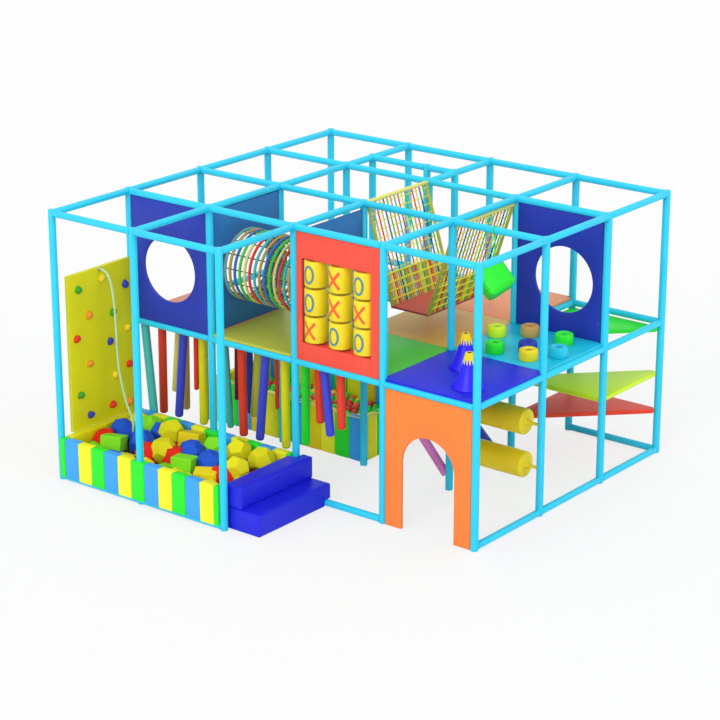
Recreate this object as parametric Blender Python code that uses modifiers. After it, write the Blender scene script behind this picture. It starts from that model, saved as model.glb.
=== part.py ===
"""Indoor soft play maze, built as separate solids on a grid of square bays.

Bay lines run from 0 to 4 along X and along Y. The plan is an L: line Y0 reaches only from X0 to X2,
and lines Y1 to Y4 reach from X0 to X4. The origin is on the floor at the middle of the 4 by 4 bays.
"""

import math

import bmesh
import bpy
from mathutils import Euler, Matrix, Vector

# Driving dimensions, in metres
BAY = 1.2
MIDDLE_LINE = 2
LAST_LINE = 4
BASE_LEVEL = 0.04
MID_LEVEL = 1.58
TOP_LEVEL = 3.08
FIT = 0.0003

TUBE_SIDES = 12
FLAT = math.cos(math.pi / TUBE_SIDES)
POST_RADIUS = 0.041
CROSS_RADIUS = 0.0395
RAIL_RADIUS = 0.037
RAIL_ANCHOR = 0.02

SHORT_BEAM_LINE = 3.413
SHORT_BEAM_POST = 0.8

DECK_THICKNESS = 0.03
DECK_OVERHANG = 0.005
DECK_LIP = 0.02
SEAM_WIDTH = 0.006
SEAM_DEPTH = 0.01
POST_CLEARANCE = 0.002

PANEL_THICKNESS = 0.04
HOLE_RADIUS = 0.392
HOLE_LEVEL = 2.27
BACK_HOLE_SHIFT = 0.055
PANEL_D_DROP = 0.026

GAME_WINDOW = (0.93, 0.94)
GAME_LEVEL = 2.2875
GAME_SHIFT = -0.02
COLUMN_PITCH = 0.333
SPINNER_RADIUS = 0.129
HUB_RADIUS = 0.035
HUB_HEIGHT = 0.02
SPINNER_HEADROOM = 0.009
SPINDLE_SET_BACK = 0.066
SHELF_DEPTH = 0.14
SHELF_THICKNESS = 0.03
SHELF_LENGTH = 0.96
SPINDLE_RADIUS = 0.012
SPINDLE_PLAY = 0.0008

ARCH_WIDTH = 0.685
ARCH_SPRING = 0.76

TUNNEL_RADIUS = 0.4
TUNNEL_LEVEL = 2.32
TUNNEL_RINGS = 11
TUNNEL_CORDS = 6
TUNNEL_SPANS = 2
RING_WIDTH = 0.036
TUNNEL_CORD = 0.03
TUNNEL_THICKNESS = 0.02

PIT_WALL = 0.11
PIT_FACE = 0.06
PIT_LEFT_INSET = 0.015
PIT_HEIGHT = 0.5
PIT_SKIRT = 0.045
STRIPE_SEAM = 0.012

BALL_PIT_WALL = 0.09
BALL_PIT_HEIGHT = 0.54
BALL_PIT_STRIPES = (11, 5)
BALL_LEVEL = 0.3
BALL_HEAP = 0.06

FOAM_LEVEL = 0.42
FOAM_SIZE = 0.15
HOLLOW_FLOOR = 0.25
HOLLOW_RADIUS = 0.1
HOLLOW_SHIFT = 0.025

STEP_RISE = PIT_HEIGHT / 2
STEP_TREAD = 0.25
STEP_BACK = 0.06
STEP_OVERRUN = 0.065
STEP_EDGE = 0.012

CLIMB_FOOT = 0.17
CLIMB_TOP = 2.32
CLIMB_THICKNESS = 0.05
HOLD_RADIUS = 0.045
HOLD_HEIGHT = 0.05

ROPE_RADIUS = 0.013
ROPE_EYE_RADIUS = 0.022
ROPE_EYE_LENGTH = 0.025

HANG_RADIUS = 0.05
STRAP_RADIUS = 0.01
STRAP_LENGTH = 0.1
PIVOT_RADIUS = 0.014

PLATE_THICKNESS = 0.05
PLATE_TIP = 0.09
PLATE_SET_IN = 0.012

ROLLER_RADIUS = 0.145
ROLLER_LENGTH = 0.84
SHAFT_RADIUS = 0.018
SHAFT_ANCHOR = 0.022
SHAFT_PLAY = 0.0012

BEAM_RADIUS = 0.05

BRIDGE_FLOOR = 1.93
BRIDGE_MAT = (0.52, 0.03)
BRIDGE_CORDS = (8, 5)
BRIDGE_CORD = 0.022
BRIDGE_BORDER = 0.0225
BRIDGE_BITE = 0.012

STOOL_RADIUS = 0.105
STOOL_HEIGHT = 0.125
CONE_RADII = (0.185, 0.04)
CONE_HEIGHT = 0.38

BLOCK_SIZE = 0.325
BLOCK_EDGE = 0.04
BLOCK_DROP = 0.54
BLOCK_SHIFT = 0.045
BLOCK_TILT = (43.3, 47.7, 4.6)
LOOP_WIDTH = 0.03
LOOP_WALL = 0.012
LOOP_PLAY = 0.001

COLOURS = {
    "tube_cyan": (0.05, 0.62, 0.78),
    "navy": (0.02, 0.05, 0.35),
    "steel_blue": (0.03, 0.2, 0.52),
    "red_orange": (0.9, 0.1, 0.06),
    "orange": (1.0, 0.27, 0.04),
    "yellow": (0.85, 0.72, 0.05),
    "mustard": (0.55, 0.5, 0.03),
    "blue": (0.07, 0.06, 0.75),
    "sky": (0.05, 0.33, 0.9),
    "green": (0.04, 0.7, 0.08),
    "red": (0.75, 0.07, 0.04),
    "teal": (0.03, 0.35, 0.38),
    "tan": (0.6, 0.4, 0.12),
    "lime": (0.5, 0.75, 0.1),
    "pink": (0.55, 0.15, 0.42),
    "rope": (0.5, 0.62, 0.32),
}

# Foam tubes below the deck: colour, metres from lines X0 and Y0, level of the lower end, degrees of lean
HANGING_TUBES = [
    ("teal", 0.062, 1.32, 0.42, 5.5),
    ("red", 0.123, 1.55, 0.36, -0.5),
    ("blue", 0.477, 1.55, 0.36, -5.9),
    ("yellow", 0.746, 1.55, 0.36, -0.4),
    ("mustard", 1.431, 1.75, 0.53, -5.4),
    ("red", 1.326, 1.55, 0.36, 0.7),
    ("blue", 1.709, 1.55, 0.36, -6.0),
    ("yellow", 1.955, 1.55, 0.36, 0.6),
    ("green", 2.278, 1.53, 0.476, -0.6),
    ("red", 2.483, 1.49, 0.803, 2.2),
    ("blue", 2.588, 1.45, 0.694, 6.2),
    ("red", 2.836, 1.44, 0.82, 1.0),
]

# Climbing holds: metres from line Y0, level
HOLDS = [
    (0.32, 2.14), (0.7, 2.19), (1.06, 2.03), (0.47, 1.81), (0.85, 1.75), (1.08, 1.51),
    (0.27, 1.58), (0.79, 1.42), (0.46, 1.24), (1.09, 1.07), (0.86, 1.0), (0.3, 0.91),
    (0.8, 0.66), (1.08, 0.62), (0.44, 0.64), (0.58, 2.02),
]

# Stools on the cyan deck and cones on the blue deck: metres from lines X0 and Y0
STOOLS = [
    (3.738, 3.073), (4.022, 3.305), (4.312, 2.834), (4.465, 2.624), (4.042, 2.601), (4.471, 3.301),
    (4.665, 2.895),
]
CONES = [(4.079, 2.005), (4.477, 1.514)]

# The climbing rope's own points below its eye: metres out from line X0, level
ROPE_ROUTE = [
    (0.12, 2.29), (0.163, 2.25), (0.205, 2.16), (0.238, 1.97), (0.256, 1.7), (0.262, 1.45),
    (0.275, 1.22), (0.312, 1.03), (0.372, 0.82), (0.435, 0.68), (0.472, 0.57), (0.468, 0.46), (0.445, 0.36),
    (0.43, 0.3),
]
ROPE_LINE = 0.66
ROPE_EYE_LEVEL = 2.3
ROPE_SPACING = 0.065
ROPE_LEAD = 0.03


def line_x(index):
    """World X of bay line index, which may be a fraction."""
    return (index - MIDDLE_LINE) * BAY


def line_y(index):
    """World Y of bay line index, which may be a fraction."""
    return (index - MIDDLE_LINE) * BAY


def from_x0(distance):
    """World X of a place given in metres from line X0."""
    return line_x(0) + distance


def from_y0(distance):
    """World Y of a place given in metres from line Y0."""
    return line_y(0) + distance


for old in list(bpy.data.objects):
    bpy.data.objects.remove(old)

parts = bpy.data.collections.new("play_maze")
tools = bpy.data.collections.new("cutters")
bpy.context.scene.collection.children.link(parts)
bpy.context.scene.collection.children.link(tools)


def material(colour):
    """Return the vinyl or foam material of that colour, made once."""
    found = bpy.data.materials.get(colour)
    if found:
        return found
    made = bpy.data.materials.new(colour)
    made.use_nodes = True
    shader = made.node_tree.nodes["Principled BSDF"]
    shader.inputs["Base Color"].default_value = (*COLOURS[colour], 1.0)
    shader.inputs["Roughness"].default_value = 0.5
    shader.inputs["Metallic"].default_value = 0.0
    return made


def add(name, mesh, colour=None, place=Vector((0, 0, 0))):
    """Add a part of that colour, or a tool when there is none, at its place."""
    made = bpy.data.objects.new(name, mesh)
    made.location = place
    if colour:
        mesh.materials.append(material(colour))
        parts.objects.link(made)
    else:
        made.hide_render = True
        made.display_type = "WIRE"
        tools.objects.link(made)
    return made


def box(name, low, high, colour=None):
    """Add a box between two corners, with its origin at its middle."""
    low, high = Vector(low), Vector(high)
    form = bmesh.new()
    bmesh.ops.create_cube(form, size=1.0, matrix=Matrix.Diagonal((*(high - low), 1.0)))
    mesh = bpy.data.meshes.new(name)
    form.to_mesh(mesh)
    form.free()
    return add(name, mesh, colour, (low + high) / 2)


def cone(name, start, end, radii, colour=None, sides=TUBE_SIDES, smooth=True):
    """Add a cone or cylinder between two points, with its origin at its middle."""
    start, end = Vector(start), Vector(end)
    span = end - start
    turn = span.to_track_quat("Z", "Y").to_matrix().to_4x4()
    turn = turn @ Matrix.Rotation(math.pi / sides, 4, "Z")
    form = bmesh.new()
    bmesh.ops.create_cone(form, cap_ends=True, segments=sides, radius1=radii[0], radius2=radii[1],
                          depth=span.length, matrix=turn)
    mesh = bpy.data.meshes.new(name)
    form.to_mesh(mesh)
    form.free()
    if smooth:
        mesh.shade_smooth()
        mesh.set_sharp_from_angle(angle=math.radians(40))
    return add(name, mesh, colour, (start + end) / 2)


def cylinder(name, start, end, radius, colour=None, sides=TUBE_SIDES):
    """Add a cylinder between two points."""
    return cone(name, start, end, (radius, radius), colour, sides)


def outline(name, loops, low, high, colour=None):
    """Extrude flat loops of XY points from one level to another and return the welded mesh object."""
    curve = bpy.data.curves.new(name, "CURVE")
    curve.dimensions = "2D"
    curve.fill_mode = "BOTH"
    curve.extrude = (high - low) / 2
    for loop in loops:
        spline = curve.splines.new("POLY")
        spline.points.add(len(loop) - 1)
        for point, (x, y) in zip(spline.points, loop):
            point.co = (x, y, 0, 1)
        spline.use_cyclic_u = True
    return meshed(name, curve, Vector((0, 0, (low + high) / 2)), colour)


def meshed(name, curve, place, colour=None):
    """Turn a curve into a welded mesh object at its place."""
    holder = bpy.data.objects.new(name + " curve", curve)
    bpy.context.scene.collection.objects.link(holder)
    evaluated = holder.evaluated_get(bpy.context.evaluated_depsgraph_get())
    mesh = bpy.data.meshes.new_from_object(evaluated)
    bpy.data.objects.remove(holder)
    form = bmesh.new()
    form.from_mesh(mesh)
    bmesh.ops.remove_doubles(form, verts=form.verts, dist=0.00005)
    form.to_mesh(mesh)
    form.free()
    mesh.name = name
    return add(name, mesh, colour, place)


def turned(name, profile, colour, place, sides, axis="Z"):
    """Turn a profile of (radius, height) points, listed top to bottom, about Z or X."""
    form = bmesh.new()
    ring = [form.verts.new((radius, 0, height)) for radius, height in profile]
    pairs = list(zip(ring, ring[1:]))
    if profile[0][0] > 0:
        pairs.append((ring[-1], ring[0]))
    for first, second in pairs:
        form.edges.new((first, second))
    mesh = bpy.data.meshes.new(name)
    form.to_mesh(mesh)
    form.free()
    made = add(name, mesh, colour, place)
    if axis == "X":
        made.rotation_euler = (0, math.pi / 2, 0)
    screw = made.modifiers.new("Turn", "SCREW")
    screw.steps = sides
    screw.render_steps = sides
    screw.use_merge_vertices = True
    screw.merge_threshold = 0.0001
    screw.use_smooth_shade = False
    return made


def group(name, members):
    """Move tools into a collection of their own, for a Boolean."""
    made = bpy.data.collections.new(name)
    tools.children.link(made)
    for member in members:
        tools.objects.unlink(member)
        made.objects.link(member)
    return made


def combine(part, operation, collection):
    """Join a collection of tools to a part, or cut it away."""
    change = part.modifiers.new(operation.title(), "BOOLEAN")
    change.operation = operation
    change.operand_type = "COLLECTION"
    change.collection = collection
    change.solver = "EXACT"


def join(part, members):
    """Join loose solids to a part."""
    combine(part, "UNION", group(part.name + " joined", members))


def cut(part, members):
    """Cut loose solids out of a part."""
    combine(part, "DIFFERENCE", group(part.name + " cut", members))


def bevel(part, width, segments=1):
    """Round a part's edges."""
    change = part.modifiers.new("Bevel", "BEVEL")
    change.width = width
    change.segments = segments
    change.limit_method = "ANGLE"


post_gap = POST_RADIUS * FLAT + FIT


def post_tool(name, across, along, grow=FIT):
    """A cutter for the post at two bay lines, grown by a clearance."""
    foot = (line_x(across), line_y(along), -POST_RADIUS)
    head = (line_x(across), line_y(along), TOP_LEVEL + 2 * POST_RADIUS)
    return cylinder(name, foot, head, POST_RADIUS + grow)


# Frame: lines of posts with their Y rails, and X rails that pass through them
def post(name, across, along, colour=None):
    """A padded post from the floor to the top of the frame."""
    x, y = line_x(across), line_y(along)
    return cylinder(name, (x, y, 0), (x, y, TOP_LEVEL + POST_RADIUS), POST_RADIUS, colour)


def cross_rail(name, across, first, last, level):
    """A rail along Y from one post's axis to another's."""
    x = line_x(across)
    return cylinder(name, (x, line_y(first), level), (x, line_y(last), level), CROSS_RADIUS)


def through_rail(name, along, first, last, level, colour=None, grow=0.0):
    """A rail along X whose ends are anchored just past the axes of its end posts."""
    y = line_y(along)
    start = (line_x(first) - RAIL_ANCHOR - grow, y, level)
    end = (line_x(last) + RAIL_ANCHOR + grow, y, level)
    return cylinder(name, start, end, RAIL_RADIUS + grow, colour)


rail_rows = range(1, LAST_LINE + 1)
levels = {"top": TOP_LEVEL, "mid": MID_LEVEL}
for level_name, level in levels.items():
    for row in rail_rows:
        through_rail(f"{level_name}_rail_y{row}", row, 0, LAST_LINE, level, "tube_cyan")

rail_sockets = group("rail sockets", [
    through_rail(f"{level_name} socket {row}", row, 0, LAST_LINE, level, grow=FIT)
    for level_name, level in levels.items() for row in rail_rows
])
front_sockets = group("front sockets", [
    through_rail("front top socket", 0, 0, 2, TOP_LEVEL, grow=FIT),
    through_rail("front base socket", 0, 0, 2, BASE_LEVEL, grow=FIT),
])

front_frame = post("front_frame", 1, 0, "tube_cyan")
join(front_frame, [
    through_rail("front top rail", 0, 0, 2, TOP_LEVEL),
    through_rail("front base rail", 0, 0, 2, BASE_LEVEL),
])


def roller_shaft(name, level, grow=0.0):
    """The room of a roller's shaft between its two posts, grown by a clearance."""
    y = line_y(2)
    near = line_x(3) + SHAFT_ANCHOR - grow
    far = line_x(4) - SHAFT_ANCHOR + grow
    return cylinder(name, (near, y, level), (far, y, level), SHAFT_RADIUS + grow)


ROLLER_LEVELS = {"roller_upper": 1.035, "roller_lower": 0.545}
shaft_sockets = group("shaft sockets", [
    roller_shaft(name + " socket", level, SHAFT_PLAY) for name, level in ROLLER_LEVELS.items()
])

frames = {}
post_rows = {0: range(0, 5), 1: range(1, 5), 2: range(0, 5), 3: range(1, 5), 4: range(1, 5)}
top_runs = {0: [(0, 4)], 1: [(0, 4)], 2: [(0, 2), (3, 4)], 3: [(1, 4)], 4: [(1, 4)]}
for line, rows in post_rows.items():
    rows = list(rows)
    frame = post(f"frame_x{line}", line, rows[0], "tube_cyan")
    members = [post(f"post {line} {row}", line, row) for row in rows[1:]]
    members += [cross_rail(f"top {line} {a}", line, a, b, TOP_LEVEL) for a, b in top_runs[line]]
    members.append(cross_rail(f"mid {line}", line, 1, 4, MID_LEVEL))
    if line in (1, 2):
        members.append(post(f"short beam post {line}", line, SHORT_BEAM_LINE))
    if line == 2:
        beam_y = line_y(SHORT_BEAM_LINE)
        beam_end = line_x(1) + post_gap
        loose_x = line_x(1) + SHORT_BEAM_POST
        members.append(cylinder("short beam", (beam_end, beam_y, TOP_LEVEL),
                                (line_x(2), beam_y, TOP_LEVEL), RAIL_RADIUS))
        members.append(cylinder("short beam loose post", (loose_x, beam_y, 0),
                                (loose_x, beam_y, TOP_LEVEL + POST_RADIUS), POST_RADIUS))
    if line == 3:
        members.append(cylinder("base rail y1", (line_x(2) + post_gap, line_y(1), BASE_LEVEL),
                                (line_x(3), line_y(1), BASE_LEVEL), RAIL_RADIUS))
        members.append(cylinder("base rail y4", (line_x(3), line_y(4), BASE_LEVEL),
                                (line_x(4) - post_gap, line_y(4), BASE_LEVEL), RAIL_RADIUS))
    if line == 4:
        members.append(cross_rail("base x4", line, 1, 4, BASE_LEVEL))
    join(frame, members)
    combine(frame, "DIFFERENCE", rail_sockets)
    if line in (0, 2):
        combine(frame, "DIFFERENCE", front_sockets)
    if line == 1:
        cut(frame, [
            post_tool("front post clearance", 1, 0),
            through_rail("front top clearance", 0, 0, 2, TOP_LEVEL, grow=FIT),
        ])
    if line in (3, 4):
        combine(frame, "DIFFERENCE", shaft_sockets)
    frames[line] = frame

# Decks: boards that lie on the rails, with seams between bays
DECK_BOTTOM = MID_LEVEL + CROSS_RADIUS * FLAT + FIT
DECK_TOP = DECK_BOTTOM + DECK_THICKNESS
PANEL_HALF = PANEL_THICKNESS / 2
deck_seat = PANEL_HALF + FIT
row_split = FIT

deck_inner, deck_lip = line_y(1) + deck_seat, line_y(1) - DECK_LIP
deck_front = outline("deck_front_row", [[
    (line_x(0) - DECK_OVERHANG, deck_inner), (line_x(1), deck_inner),
    (line_x(1), deck_lip), (line_x(2), deck_lip), (line_x(2), deck_inner), (line_x(3), deck_inner),
    (line_x(3), deck_lip), (line_x(4) + DECK_OVERHANG, deck_lip),
    (line_x(4) + DECK_OVERHANG, line_y(2) - row_split), (line_x(0) - DECK_OVERHANG, line_y(2) - row_split),
]], DECK_BOTTOM, DECK_TOP, "blue")
seam_low = DECK_TOP - SEAM_DEPTH
seams = [
    box(f"front seam {line}", (line_x(line) - SEAM_WIDTH / 2, line_y(0), seam_low),
        (line_x(line) + SEAM_WIDTH / 2, line_y(2), DECK_TOP + SEAM_DEPTH))
    for line in (1, 2, 3)
]
cone_bodies = [
    cone(f"cone {number}", (from_x0(x), from_y0(y), DECK_TOP - DECK_THICKNESS / 2),
         (from_x0(x), from_y0(y), DECK_TOP + CONE_HEIGHT), CONE_RADII)
    for number, (x, y) in enumerate(CONES)
]
front_posts = [post_tool(f"front deck notch {i} {j}", i, j, POST_CLEARANCE)
               for i in range(5) for j in (1, 2)]
cut(deck_front, seams + front_posts)
join(deck_front, cone_bodies)

back_edge = line_y(3) - deck_seat
deck_back = outline("deck_back_rows", [[
    (line_x(2) - DECK_OVERHANG, line_y(2) + row_split),
    (line_x(4) + DECK_OVERHANG, line_y(2) + row_split),
    (line_x(4) + DECK_OVERHANG, back_edge),
    (line_x(3) + DECK_OVERHANG, back_edge),
    (line_x(3) + DECK_OVERHANG, line_y(4) + DECK_OVERHANG),
    (line_x(2) - DECK_OVERHANG, line_y(4) + DECK_OVERHANG),
]], DECK_BOTTOM, DECK_TOP, "tan")
back_seams = [
    box("back seam x3", (line_x(3) - SEAM_WIDTH / 2, line_y(1), seam_low),
        (line_x(3) + SEAM_WIDTH / 2, line_y(3), DECK_TOP + SEAM_DEPTH)),
    box("back seam y3", (line_x(1), line_y(3) - SEAM_WIDTH / 2, seam_low),
        (line_x(3) + SEAM_WIDTH / 2, line_y(3) + SEAM_WIDTH / 2, DECK_TOP + SEAM_DEPTH)),
]
back_posts = [post_tool(f"back deck notch {i} {j}", i, j, POST_CLEARANCE)
              for i, j in ((2, 2), (3, 2), (4, 2), (2, 3), (3, 3), (4, 3), (2, 4), (3, 4),
                           (2, SHORT_BEAM_LINE))]
stool_bodies = [
    cylinder(f"stool {number}", (from_x0(x), from_y0(y), DECK_TOP - DECK_THICKNESS / 2),
             (from_x0(x), from_y0(y), DECK_TOP + STOOL_HEIGHT), STOOL_RADIUS, sides=10)
    for number, (x, y) in enumerate(STOOLS)
]
cut(deck_back, back_seams + back_posts)
join(deck_back, stool_bodies)

# Upper panels: they stand between posts, on a rail or on the deck
RAIL_CREST = MID_LEVEL + RAIL_RADIUS * FLAT + FIT
TOP_RAIL_UNDERSIDE = TOP_LEVEL - RAIL_RADIUS * FLAT - FIT


def panel_along_x(name, along, first, low, high, colour):
    """A panel in the plane of line Y along, in the bay that starts at line X first."""
    y = line_y(along)
    return box(name, (line_x(first) + post_gap, y - PANEL_HALF, low),
               (line_x(first + 1) - post_gap, y + PANEL_HALF, high), colour)


def panel_along_y(name, across, first, low, high, colour):
    """A panel in the plane of line X across, in the bay that starts at line Y first."""
    x = line_x(across)
    return box(name, (x - PANEL_HALF, line_y(first) + post_gap, low),
               (x + PANEL_HALF, line_y(first + 1) - post_gap, high), colour)


def round_hole(panel, centre, normal, radius):
    """Cut a round hole through a panel about its centre."""
    reach = Vector(normal) * PANEL_THICKNESS
    cut(panel, [cylinder(panel.name + " hole", Vector(centre) - reach, Vector(centre) + reach,
                         radius, sides=24)])


panel_a = panel_along_x("panel_hole_front", 1, 0, RAIL_CREST, TOP_RAIL_UNDERSIDE, "navy")
round_hole(panel_a, (line_x(0.5), line_y(1), HOLE_LEVEL), (0, 1, 0), HOLE_RADIUS)
panel_b = panel_along_x("panel_hole_back", 3, 3, RAIL_CREST, TOP_RAIL_UNDERSIDE, "navy")
round_hole(panel_b, (line_x(3.5) + BACK_HOLE_SHIFT, line_y(3), HOLE_LEVEL), (0, 1, 0), HOLE_RADIUS)

cross_underside = TOP_LEVEL - CROSS_RADIUS * FLAT - FIT
panel_c = panel_along_y("panel_tunnel_left", 1, 1, DECK_TOP + FIT, cross_underside, "steel_blue")
round_hole(panel_c, (line_x(1), line_y(1.5), TUNNEL_LEVEL), (1, 0, 0), HOLE_RADIUS)
panel_d = panel_along_y("panel_tunnel_right", 2, 1, DECK_TOP + FIT, cross_underside - PANEL_D_DROP,
                        "steel_blue")
round_hole(panel_d, (line_x(2), line_y(1.5), TUNNEL_LEVEL), (1, 0, 0), HOLE_RADIUS)

# Game panel: a window, with three spindles between two shelves behind it and nine spinners on them
game_panel = panel_along_x("game_panel", 1, 2, RAIL_CREST, TOP_RAIL_UNDERSIDE, "red_orange")
game_x, game_y = line_x(2.5) + GAME_SHIFT, line_y(1)
window_low = GAME_LEVEL - GAME_WINDOW[1] / 2
window_high = GAME_LEVEL + GAME_WINDOW[1] / 2
cut(game_panel, [box("game window",
                     (game_x - GAME_WINDOW[0] / 2, game_y - PANEL_THICKNESS, window_low),
                     (game_x + GAME_WINDOW[0] / 2, game_y + PANEL_THICKNESS, window_high))])
spindle_y = game_y + SPINDLE_SET_BACK
column_places = [game_x + (column - 1) * COLUMN_PITCH for column in range(3)]
join(game_panel, [
    box(f"shelf {level}", (game_x - SHELF_LENGTH / 2, game_y, level),
        (game_x + SHELF_LENGTH / 2, game_y + SHELF_DEPTH, level + SHELF_THICKNESS))
    for level in (window_low - SHELF_THICKNESS, window_high)
] + [
    cylinder(f"spindle {column}", (x, spindle_y, window_low - SHELF_THICKNESS / 2),
             (x, spindle_y, window_high + SHELF_THICKNESS / 2), SPINDLE_RADIUS, sides=8)
    for column, x in enumerate(column_places)
])

spinner_height = (GAME_WINDOW[1] - SPINNER_HEADROOM - 3 * FIT) / 3
spinner_profile = [
    (SPINNER_RADIUS, spinner_height), (SPINNER_RADIUS, HUB_HEIGHT),
    (HUB_RADIUS, HUB_HEIGHT), (HUB_RADIUS, 0.0),
    (SPINDLE_RADIUS + SPINDLE_PLAY, 0.0), (SPINDLE_RADIUS + SPINDLE_PLAY, spinner_height),
]
for column, x in enumerate(column_places):
    for row in range(3):
        foot = window_low + FIT + row * (spinner_height + FIT)
        turned(f"spinner_{column + 1}_{row + 1}", spinner_profile, "yellow", (x, spindle_y, foot), 12)

# Arch door in the lower level
door_x, door_y = line_x(3.5), line_y(1)
door_top = MID_LEVEL - RAIL_RADIUS * FLAT - FIT
door = panel_along_x("arch_door_panel", 1, 3, 0, door_top, "orange")
cut(door, [
    cylinder("arch head", (door_x, door_y - PANEL_THICKNESS, ARCH_SPRING),
             (door_x, door_y + PANEL_THICKNESS, ARCH_SPRING), ARCH_WIDTH / 2, sides=24),
    box("arch opening", (door_x - ARCH_WIDTH / 2, door_y - PANEL_THICKNESS, -PANEL_THICKNESS),
        (door_x + ARCH_WIDTH / 2, door_y + PANEL_THICKNESS, ARCH_SPRING)),
])


# Nets: open sheets of cords, thickened by Solidify
def band_edges(cords, width, length):
    """Edges of evenly spaced cords along a length: cord, gap, cord, and so on."""
    pitch = (length - width) / (cords - 1)
    return [edge for cord in range(cords) for edge in (cord * pitch, cord * pitch + width)]


def net_sheet(name, across, along, place, thickness, colour=None):
    """A sheet of cells between two lists of edges, open where both lists have a gap."""
    form = bmesh.new()
    grid = [[form.verts.new(place(u, v)) for v in along] for u in across]
    for i in range(len(across) - 1):
        for j in range(len(along) - 1):
            if i % 2 == 1 and j % 2 == 1:
                continue
            form.faces.new((grid[i][j], grid[i + 1][j], grid[i + 1][j + 1], grid[i][j + 1]))
    mesh = bpy.data.meshes.new(name)
    form.to_mesh(mesh)
    form.free()
    made = add(name, mesh, colour)
    skin = made.modifiers.new("Thickness", "SOLIDIFY")
    skin.thickness = thickness
    skin.offset = 0
    return made


tunnel_start = line_x(1) + PANEL_HALF + FIT
tunnel_length = BAY - PANEL_THICKNESS - 2 * FIT


def net_tunnel():
    """Rings along X with cords lengthwise between them."""
    rings = band_edges(TUNNEL_RINGS, RING_WIDTH, tunnel_length)
    sector = 2 * math.pi / TUNNEL_CORDS
    cord_angle = TUNNEL_CORD / TUNNEL_RADIUS
    step = (sector - cord_angle) / TUNNEL_SPANS
    turns = []
    for cord in range(TUNNEL_CORDS):
        turns += [cord * sector] + [cord * sector + cord_angle + span * step for span in range(TUNNEL_SPANS)]
    form = bmesh.new()
    sheet = []
    for x in rings:
        sheet.append([form.verts.new((tunnel_start + x, line_y(1.5) + TUNNEL_RADIUS * math.cos(turn),
                                      TUNNEL_LEVEL + TUNNEL_RADIUS * math.sin(turn))) for turn in turns])
    for i in range(len(rings) - 1):
        for j in range(len(turns)):
            if i % 2 == 1 and j % (TUNNEL_SPANS + 1) != 0:
                continue
            after = (j + 1) % len(turns)
            form.faces.new((sheet[i][j], sheet[i + 1][j], sheet[i + 1][after], sheet[i][after]))
    mesh = bpy.data.meshes.new("net_tunnel")
    form.to_mesh(mesh)
    form.free()
    made = add("net_tunnel", mesh, "green")
    skin = made.modifiers.new("Thickness", "SOLIDIFY")
    skin.thickness = TUNNEL_THICKNESS
    skin.offset = 0
    return made


net_tunnel()

# Net bridge: two sloping nets that hold a narrow mat between lines X2 and X3
bridge_x = line_x(2.5)
bridge_start = line_y(2) + post_gap
bridge_length = BAY - 2 * post_gap
mat_half = BRIDGE_MAT[0] / 2
bridge_mat = box("net_bridge", (bridge_x - mat_half, bridge_start, BRIDGE_FLOOR),
                 (bridge_x + mat_half, bridge_start + bridge_length, BRIDGE_FLOOR + BRIDGE_MAT[1]), "lime")
mat_middle = BRIDGE_FLOOR + BRIDGE_MAT[1] / 2
right_border_level = cross_underside - BRIDGE_BORDER * FLAT
bridge_sides = {
    "left": ((line_x(2), TOP_LEVEL), (bridge_x - mat_half + BRIDGE_BITE, mat_middle)),
    "right": ((line_x(3), right_border_level), (bridge_x + mat_half - BRIDGE_BITE, mat_middle)),
}


def bridge_side(name, head, foot):
    """A sloping net from a border tube down to the mat."""
    head, foot = Vector(head), Vector(foot)
    slope = (foot - head).normalized()
    length = (foot - head).length

    def place(u, v):
        x, z = head + slope * v
        return x, bridge_start + u, z

    across = band_edges(BRIDGE_CORDS[0], BRIDGE_CORD, bridge_length)
    along = band_edges(BRIDGE_CORDS[1], BRIDGE_CORD, length)
    return net_sheet(name + " net", across, along, place, BRIDGE_CORD * 0.7)


side_members = []
for side, (head, foot) in bridge_sides.items():
    side_members.append(bridge_side(side, head, foot))
    side_members.append(cylinder(side + " border", (head[0], bridge_start, head[1]),
                                 (head[0], bridge_start + bridge_length, head[1]), BRIDGE_BORDER))
join(bridge_mat, side_members)


# Foam pit in the front extension, with its striped wall, filling, steps, climbing wall and rope
def striped_edge(start, end, stripes, seam):
    """Points along a padded edge: each stripe bulges to the line, each seam is drawn in to its left."""
    start, end = Vector(start), Vector(end)
    along = (end - start) / stripes
    inward = Vector((-along.y, along.x)).normalized() * seam
    points = []
    for stripe in range(stripes):
        first = start + along * stripe
        points += [first + inward, first + along * 0.2, first + along * 0.8]
    return points


pit_left = line_x(0) + PIT_LEFT_INSET
pit_front = line_y(0) - PIT_FACE
pit_right = line_x(2) - post_gap
pit_back = line_y(1) + PIT_WALL - PIT_FACE
front_edge = striped_edge((pit_left, pit_front), (pit_right, pit_front), 12, STRIPE_SEAM)
pit_wall = outline("foam_pit_wall", [front_edge + [
    (pit_right, pit_front + STRIPE_SEAM), (pit_right, pit_front + PIT_WALL),
    (pit_left + PIT_WALL, pit_front + PIT_WALL), (pit_left + PIT_WALL, pit_back - PIT_WALL),
    (pit_right, pit_back - PIT_WALL), (pit_right, pit_back), (pit_left, pit_back),
]], 0, PIT_HEIGHT, "green")
cut(pit_wall, [post_tool(f"pit post {i} {j}", i, j) for i in (0, 1) for j in (0, 1)] + [
    through_rail("pit base rail", 0, 0, 2, BASE_LEVEL, grow=FIT),
    box("pit skirt", (pit_left - PIT_FACE, pit_front - PIT_FACE, -PIT_FACE),
        (pit_right + PIT_FACE, line_y(0), PIT_SKIRT)),
])

step_left = line_x(2) - PIT_FACE
foam_left = pit_left + PIT_WALL + FIT
foam_right = step_left - FIT
foam_front = pit_front + PIT_WALL + FIT
foam_back = pit_back - PIT_WALL - FIT
foam = box("foam_pit_filling", (foam_left, foam_front, 0), (foam_right, foam_back, FOAM_LEVEL), "yellow")


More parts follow.
